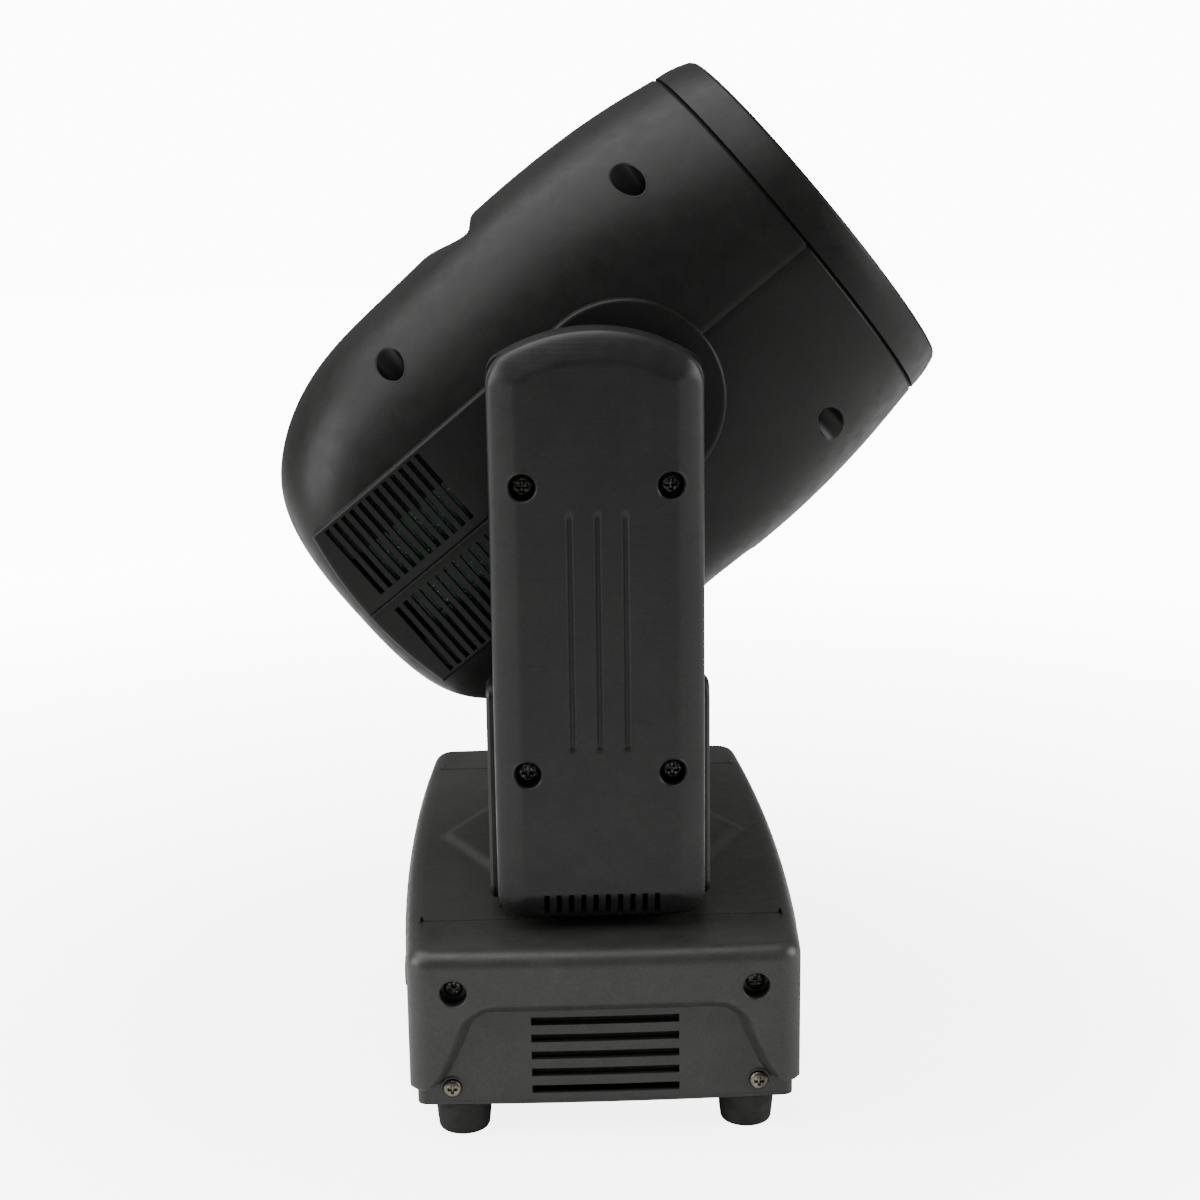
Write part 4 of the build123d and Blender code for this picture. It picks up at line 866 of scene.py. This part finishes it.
def oxide_screws(name):
    """Black oxide on steel screws: a blue-black satin skin, worn a little brighter in patches by the driver."""
    material, tree = new_finish(name)
    worn = object_noise(tree, 1.1, 4)
    colour = ramp(tree, worn, [(0.48, linear("#1b1b1c")), (0.74, linear("#6b6862"))])
    shine = ramp(tree, worn, [(0.3, grey(0.42)), (0.7, grey(0.27))])
    normal = bump(tree, worn, 0.02, 0.6)
    surface(tree, {"Base Color": colour, "Roughness": shine, "Metallic": 0.85, "Normal": normal})
    return material


def rubber(name, dark, light):
    """Moulded neoprene: matt and slightly dusty, with a coarse skin."""
    material, tree = new_finish(name)
    skin = object_noise(tree, 1.0, 4)
    colour = ramp(tree, object_noise(tree, 7, 5), [(0.3, dark), (0.75, light)])
    normal = bump(tree, skin, 0.06, 0.9, soft_edges(tree, 0.4))
    surface(tree, {"Base Color": colour, "Roughness": 0.78, "Specular IOR Level": 0.3, "Normal": normal})
    return material


BOARD_TURN = math.radians(39.7)      # turns the pattern of the boards to the head's axis at rest


def circuit_board(name, mask, copper, pads):
    """A soldered board under a coloured lacquer: straight copper tracks show through, with bright solder pads."""
    material, tree = new_finish(name)
    where = add_node(tree, "ShaderNodeTexCoord").outputs["Object"]
    square = {"Vector": where, "Rotation": (0, BOARD_TURN, 0)}
    turned = add_node(tree, "ShaderNodeMapping", inputs=square)
    cells = {"feature": "F1", "distance": "CHEBYCHEV"}
    parts = {"Vector": turned.outputs[0], "Scale": per_metre(9), "Randomness": 0.8}
    blocks = add_node(tree, "ShaderNodeTexVoronoi", cells, parts)
    fine = {"Vector": turned.outputs[0], "Scale": per_metre(3.2), "Randomness": 0.35}
    dots = add_node(tree, "ShaderNodeTexVoronoi", {"feature": "F1"}, fine)
    tracks = ramp(tree, blocks.outputs["Distance"], [(0.30, mask), (0.42, copper), (0.48, mask)])
    solder = ramp(tree, dots.outputs["Distance"], [(0.16, grey(1)), (0.2, grey(0))])
    mix = {"data_type": "RGBA", "blend_type": "MIX"}
    colour = add_node(tree, "ShaderNodeMix", mix, {0: solder, 6: tracks, 7: pads}).outputs[2]
    shine = ramp(tree, solder, [(0, grey(0.32)), (1, grey(0.2))])
    normal = bump(tree, solder, 0.25, 0.7)
    surface(tree, {"Base Color": colour, "Roughness": shine, "Normal": normal})
    return material


def clear_lens(name):
    """Acrylic secondary lenses: clear, with a pebbled skin that spreads the beam."""
    material, tree = new_finish(name)
    pebbles = {"Vector": add_node(tree, "ShaderNodeTexCoord").outputs["Object"], "Scale": per_metre(2.6)}
    cells = add_node(tree, "ShaderNodeTexVoronoi", {"feature": "SMOOTH_F1"}, pebbles)
    tint = ramp(tree, cells.outputs["Distance"], [(0.0, linear("#f4f8f8")), (0.8, linear("#dfe8ea"))])
    normal = bump(tree, cells.outputs["Distance"], 0.35, 0.8)
    look = {"Base Color": tint, "Roughness": 0.06, "IOR": 1.49, "Transmission Weight": 0.92, "Normal": normal}
    surface(tree, look)
    return material


def dark_glass(name):
    """A smoked acrylic display window: glossy near-black with the faint weave of the cells behind it."""
    material, tree = new_finish(name)
    cells = object_noise(tree, 2.2, 2)
    colour = ramp(tree, cells, [(0.3, linear("#06090c")), (0.7, linear("#10161b"))])
    smear = ramp(tree, object_noise(tree, 18, 5), [(0.35, grey(0.05)), (0.7, grey(0.14))])
    look = {"Base Color": colour, "Roughness": smear, "Coat Weight": 0.6, "Coat Roughness": 0.04}
    surface(tree, look)
    return material


def make_finishes(colours):
    """Every material, by the slot of the record that it fills."""
    case_dark = tuple(colours.base_dark) + (1.0,)
    case_light = tuple(colours.base_light) + (1.0,)
    arm_dark = tuple(colours.arm_dark) + (1.0,)
    arm_light = tuple(colours.arm_light) + (1.0,)
    head_dark = tuple(colours.head_dark) + (1.0,)
    head_light = tuple(colours.head_light) + (1.0,)
    # the base's lighter colour pair is partly painted light for the overhead light on its top
    moulded_plastic("base_plastic", case_dark, case_light, 1.0, 0.035, 0.44, specular=0.42, lines=0.02)
    moulded_plastic("arm_plastic", arm_dark, arm_light, 0.9, 0.028, 0.4, lines=0.09)
    moulded_plastic("head_plastic", head_dark, head_light, 0.9, 0.03, 0.4, specular=0.17)
    moulded_plastic("fan_plastic", linear("#0f0f10"), linear("#1a1a1b"), 1.2, 0.02, 0.4)
    moulded_plastic("carrier_plastic", linear("#141414"), linear("#1d1d1e"), 1.2, 0.03, 0.55)
    moulded_plastic("socket_plastic", linear("#0e0e0f"), linear("#191919"), 1.0, 0.02, 0.38)
    moulded_plastic("power_socket_plastic", linear("#1d3f6e"), linear("#27528a"), 1.0, 0.02, 0.4)
    moulded_plastic("button_rubber", linear("#2b2b2c"), linear("#3a3a3a"), 0.9, 0.03, 0.7)
    powder_coat("painted_steel", linear("#161617"), linear("#222222"), 0.45)
    plated_steel("zinc_sheet", linear("#b9b8b0"), linear("#8f8e86"), 0.32, (1, 0.08, 1))
    plated_steel("zinc_steel", linear("#8c8577"), linear("#57524a"), 0.34)
    plated_steel("machined_aluminium", linear("#c9cacb"), linear("#a3a5a7"), 0.3, (1, 0.1, 1), 0.6)
    plated_steel("motor_steel", linear("#8a8b8d"), linear("#5a5b5d"), 0.42)
    oxide_screws("black_screws")
    rubber("black_rubber", linear("#1c1c1b"), linear("#2a2a28"))
    circuit_board("green_board", linear("#1c5a44"), linear("#2f7a58"), linear("#b9b6a8"))
    circuit_board("white_board", linear("#d6d8d4"), linear("#b9bdb6"), linear("#8f9088"))
    clear_lens("lens_glass")
    dark_glass("display_glass")


def studio_paper():
    """Matt seamless paper: pale, with a barely visible tooth, and a painted glow that only the camera sees, dimmer
    near the object and brighter further out.
    """
    material, tree = new_finish("studio_paper")
    tooth = object_noise(tree, 3, 3)
    colour = ramp(tree, tooth, [(0.3, linear("#f1f1f0")), (0.7, linear("#f6f6f5"))])
    shader = surface(tree, {"Base Color": colour, "Roughness": 0.9, "Specular IOR Level": 0.1})
    shader.inputs["Emission Color"].default_value = (1.0, 1.0, 1.0, 1.0)
    # painted light: camera-only glow that grows with distance from the object
    where = add_node(tree, "ShaderNodeTexCoord").outputs["Object"]
    far = add_node(tree, "ShaderNodeVectorMath", {"operation": "LENGTH"}, {0: where}).outputs["Value"]
    reach = {"Value": far, "From Min": 0.25, "From Max": 1.3, "To Min": 5.0, "To Max": 12.0}
    glow = add_node(tree, "ShaderNodeMapRange", inputs=reach).outputs[0]
    seen = add_node(tree, "ShaderNodeLightPath").outputs["Is Camera Ray"]
    strength = add_node(tree, "ShaderNodeMath", {"operation": "MULTIPLY"}, {0: glow, 1: seen}).outputs[0]
    tree.links.new(strength, shader.inputs["Emission Strength"])
    return material


# ---- settings -----------------------------------------------------------------------------------
def colour_setting(name, code, about):
    """A colour that a user can change, with its sRGB default."""
    return FloatVectorProperty(
        name=name, description=about, subtype="COLOR", size=3, min=0, max=1, default=linear(code)[:3]
    )


class ShellSizes(bpy.types.PropertyGroup):
    """Sizes of the moulded shells that the looks may change inside the CAD box."""

    margin_in: FloatProperty(
        name="Arm margin", description="Width of the sloping margin round each arm's face", default=0.0135,
        min=0.005, max=0.02, unit="LENGTH",
    )
    margin_down: FloatProperty(
        name="Arm margin drop", description="How far the sloping margin falls at its edge", default=0.0075,
        min=0.002, max=0.015, unit="LENGTH",
    )
    shoulder: FloatProperty(
        name="Base shoulder", description="Radius of the rounded shoulder round the base's top", default=0.008,
        min=0.004, max=0.012, unit="LENGTH",
    )
    valley: FloatProperty(
        name="Cap valley", description="How deep each end cap's top dips behind its shoulder", default=0.0012,
        min=0.0, max=0.004, unit="LENGTH",
    )
    shell_wall: FloatProperty(
        name="Shell wall", description="Thickness of the moulded walls", default=0.0026,
        min=0.001, max=0.004, unit="LENGTH",
    )


class FinishColours(bpy.types.PropertyGroup):
    """Colours of the three moulded blacks, each clouded between a darker and a lighter value. The base's pair is
    set lighter than the arms' and head's, partly as painted light for the overhead light on the base's top.
    """

    base_dark: colour_setting("Base dark", "#272725", "Darker colour of the base's plastic")
    base_light: colour_setting("Base light", "#31312e", "Lighter colour of the base's plastic")
    arm_dark: colour_setting("Arm dark", "#171717", "Darker colour of the arms' plastic")
    arm_light: colour_setting("Arm light", "#1f1f1e", "Lighter colour of the arms' plastic")
    head_dark: colour_setting("Head dark", "#141413", "Darker colour of the head's plastic")
    head_light: colour_setting("Head light", "#1b1b1a", "Lighter colour of the head's plastic")


class StudioSettings(bpy.types.PropertyGroup):
    """Camera and lights of the studio."""

    lens: FloatProperty(
        name="Lens", description="Focal length of the camera", default=60.9, min=20, max=200, unit="CAMERA"
    )
    key_power: FloatProperty(
        name="Overhead power", description="Power of the overhead softbox in watts", default=75, min=0, max=500
    )
    side_power: FloatProperty(
        name="Side power", description="Power of each side softbox in watts", default=45, min=0, max=500
    )
    world_level: FloatProperty(
        name="Surround level", description="How strongly the white surround lights the object", default=0.2,
        min=0, max=3,
    )
    backdrop_level: FloatProperty(
        name="Backdrop level", description="Brightness of the white surround itself", default=12.0, min=0, max=30
    )
    floor_turns: IntProperty(
        name="Floor turns", description="Facets round the edge of the paper floor", default=96, min=12, max=256
    )


# ---- operators ----------------------------------------------------------------------------------
class MHL_OT_finishes(bpy.types.Operator):
    """Makes every material and gives each CAD node the one that its slot names"""

    bl_idname = "moving_head.finishes"
    bl_label = "Finishes"

    def execute(self, context):
        packed = {name: node.material_slots[0].material.name for name, node in frame["nodes"].items()}
        for material in list(bpy.data.materials):
            material.name = "packed_" + material.name
        make_finishes(context.scene.mhl_colours)
        for name, node in frame["nodes"].items():
            for material_slot in node.material_slots:
                material_slot.material = bpy.data.materials[packed[name].split(".")[0]]
        return {"FINISHED"}


class MHL_OT_head_shells(bpy.types.Operator):
    """Builds the two halves of the head's housing with their bands, vents, screw pockets and boss rings"""

    bl_idname = "moving_head.head_shells"
    bl_label = "Head shells"

    def execute(self, context):
        wall = context.scene.mhl_sizes.shell_wall / MM
        for name, way in (("upper_shell", 1), ("lower_shell", -1)):
            patches = [shell_body(way)] + [shell_band(way, hand) for hand in (-1, 1)] + head_pockets(way)
            add_piece(name + "_moulding", patches, "head", "head_plastic", [name], wall)
        for end, hand in (("near", -1), ("far", 1)):
            add_piece("boss_ring_" + end, [boss_ring(hand)], "head", "head_plastic")
        add_piece("shell_screw_heads", head_screws(), "head", "black_screws", ["shell_screws"])
        # dark sheets in the head's vents: painted shade
        add_piece("vent_screens", vent_screens(), "head", "black_rubber")
        return {"FINISHED"}


class MHL_OT_arm_covers(bpy.types.Operator):
    """Builds the outer cover of each arm with its sloping margin, vents, grooves and counterbored screws"""

    bl_idname = "moving_head.arm_covers"
    bl_label = "Arm covers"

    def execute(self, context):
        sizes = context.scene.mhl_sizes
        for end, hand in (("near", -1), ("far", 1)):
            patches = arm_cover(hand, sizes) + arm_pockets(hand, sizes)
            node = "arm_cover_outer_" + end
            add_piece(node + "_moulding", patches, "yoke", "arm_plastic", [node], sizes.shell_wall / MM)
        add_piece("arm_screw_heads", arm_screws(), "yoke", "black_screws", ["arm_cover_screws"])
        return {"FINISHED"}


class MHL_OT_base_covers(bpy.types.Operator):
    """Builds the base's end caps, top plate with its pad, feet and screws"""

    bl_idname = "moving_head.base_covers"
    bl_label = "Base covers"

    def execute(self, context):
        sizes = context.scene.mhl_sizes
        wall = sizes.shell_wall / MM
        for end, hand in (("near", -1), ("far", 1)):
            patches = end_cap(hand, sizes) + cap_pockets(hand)
            add_piece(f"end_cap_{end}_moulding", patches, "base", "base_plastic", ["end_cap_" + end], wall)
        add_piece("top_cover_moulding", top_cover(sizes), "base", "base_plastic", ["top_cover"], wall)
        feet = [foot(x, y) for x in (-70, 70) for y in (-149, 149)]
        add_piece("rubber_feet", feet, "base", "black_rubber", ["feet"])
        add_piece("case_screw_heads", case_screws(), "base", "zinc_steel", ["base_screws"])
        add_piece("cap_screw_heads", cap_screws(), "base", "black_screws")
        add_piece("case_screw_rings", case_rings(), "base", "base_plastic")
        # dark sheets in the base's vents: painted shade
        add_piece("case_dust_filters", case_shade_sheets(), "base", "black_rubber")
        return {"FINISHED"}


class MHL_OT_studio(bpy.types.Operator):
    """Lays the paper floor, hangs the softboxes, lights the surround and stands the camera"""

    bl_idname = "moving_head.studio"
    bl_label = "Studio"

    def execute(self, context):
        settings = context.scene.mhl_studio
        turn = np.linspace(0, 2 * math.pi, settings.floor_turns + 1)
        turn[-1] = 0
        ring = np.array([0, 400, 1500, 6000])[:, None]
        paper = np.stack([ring * np.cos(turn), ring * np.sin(turn), 0 * ring - 0.05 + 0 * turn], axis=-1)
        mesh = bpy.data.meshes.new("paper_floor")
        fill_mesh(mesh, [patch(paper, (0, 0, -100))])
        mesh.materials.append(studio_paper())
        floor = bpy.data.objects.new("paper_floor", mesh)
        context.scene.collection.objects.link(floor)
        self.softbox("overhead", (-0.7, 0.0, 2.1), (0, 0, 0.3), 2.4, settings.key_power)
        self.softbox("left", (-2.1, -0.35, 0.9), (0, 0, 0.3), 1.3, settings.side_power)
        self.softbox("right", (2.1, -0.35, 0.9), (0, 0, 0.3), 1.3, settings.side_power)
        self.surround(context, settings)
        self.camera(context, settings)
        return {"FINISHED"}

    def softbox(self, name, at, aim, size, power):
        """A square softbox at a point, turned to another."""
        light = bpy.data.lights.new(name, "AREA")
        light.size = size
        light.energy = power
        holder = bpy.data.objects.new(name, light)
        holder.location = at
        holder.rotation_euler = (Vector(aim) - Vector(at)).to_track_quat("-Z", "Y").to_euler()
        bpy.context.scene.collection.objects.link(holder)

    def surround(self, context, settings):
        """A plain white surround."""
        world = bpy.data.worlds.new("white_surround")
        world.use_nodes = True
        tree = world.node_tree
        background = tree.nodes["Background"]
        background.inputs["Color"].default_value = (1.0, 1.0, 1.0, 1.0)
        seen = add_node(tree, "ShaderNodeLightPath").outputs["Is Camera Ray"]
        levels = {"Value": seen, "To Min": settings.world_level, "To Max": settings.backdrop_level}
        strength = add_node(tree, "ShaderNodeMapRange", inputs=levels).outputs[0]
        tree.links.new(strength, background.inputs["Strength"])
        context.scene.world = world

    def camera(self, context, settings):
        """The camera a little above the near end of the base, looking slightly down along the tilt axis."""
        data = bpy.data.cameras.new("camera")
        data.lens = settings.lens
        data.sensor_width = 36
        camera = bpy.data.objects.new("camera", data)
        right = (0.99929, -0.03506, -0.01290)
        up = (0.02029, 0.21947, 0.97541)
        back = (-0.03137, -0.97498, 0.22003)
        turn = Matrix((right, up, back)).transposed().to_4x4()
        camera.matrix_world = Matrix.Translation((-0.0293, -1.0800, 0.4756)) @ turn
        context.scene.collection.objects.link(camera)
        context.scene.camera = camera


class MHL_PT_panel(bpy.types.Panel):
    """Sizes, colours and the steps that build the light"""

    bl_idname = "MHL_PT_panel"
    bl_label = "Moving head light"
    bl_space_type = "VIEW_3D"
    bl_region_type = "UI"
    bl_category = "Moving head"

    def draw(self, context):
        layout = self.layout
        for group in (context.scene.mhl_sizes, context.scene.mhl_colours, context.scene.mhl_studio):
            box = layout.box()
            for name in group.bl_rna.properties.keys():
                if name not in ("rna_type", "name"):
                    box.prop(group, name)
        for step in STEPS:
            layout.operator(step.bl_idname)


STEPS = (MHL_OT_finishes, MHL_OT_head_shells, MHL_OT_arm_covers, MHL_OT_base_covers, MHL_OT_studio)
GROUPS = (("mhl_sizes", ShellSizes), ("mhl_colours", FinishColours), ("mhl_studio", StudioSettings))


def register():
    """Registers every class and hangs the settings on the scene."""
    for _, group in GROUPS:
        bpy.utils.register_class(group)
    for name, group in GROUPS:
        setattr(bpy.types.Scene, name, PointerProperty(type=group))
    for step in STEPS:
        bpy.utils.register_class(step)
    bpy.utils.register_class(MHL_PT_panel)


def unregister():
    """Takes back what register did."""
    bpy.utils.unregister_class(MHL_PT_panel)
    for step in reversed(STEPS):
        bpy.utils.unregister_class(step)
    for name, group in reversed(GROUPS):
        delattr(bpy.types.Scene, name)
        bpy.utils.unregister_class(group)


def main():
    """Builds the whole light and its studio."""
    register()
    bpy.ops.moving_head.finishes()
    bpy.ops.moving_head.head_shells()
    bpy.ops.moving_head.arm_covers()
    bpy.ops.moving_head.base_covers()
    bpy.ops.moving_head.studio()


if __name__ == "__main__":
    main()
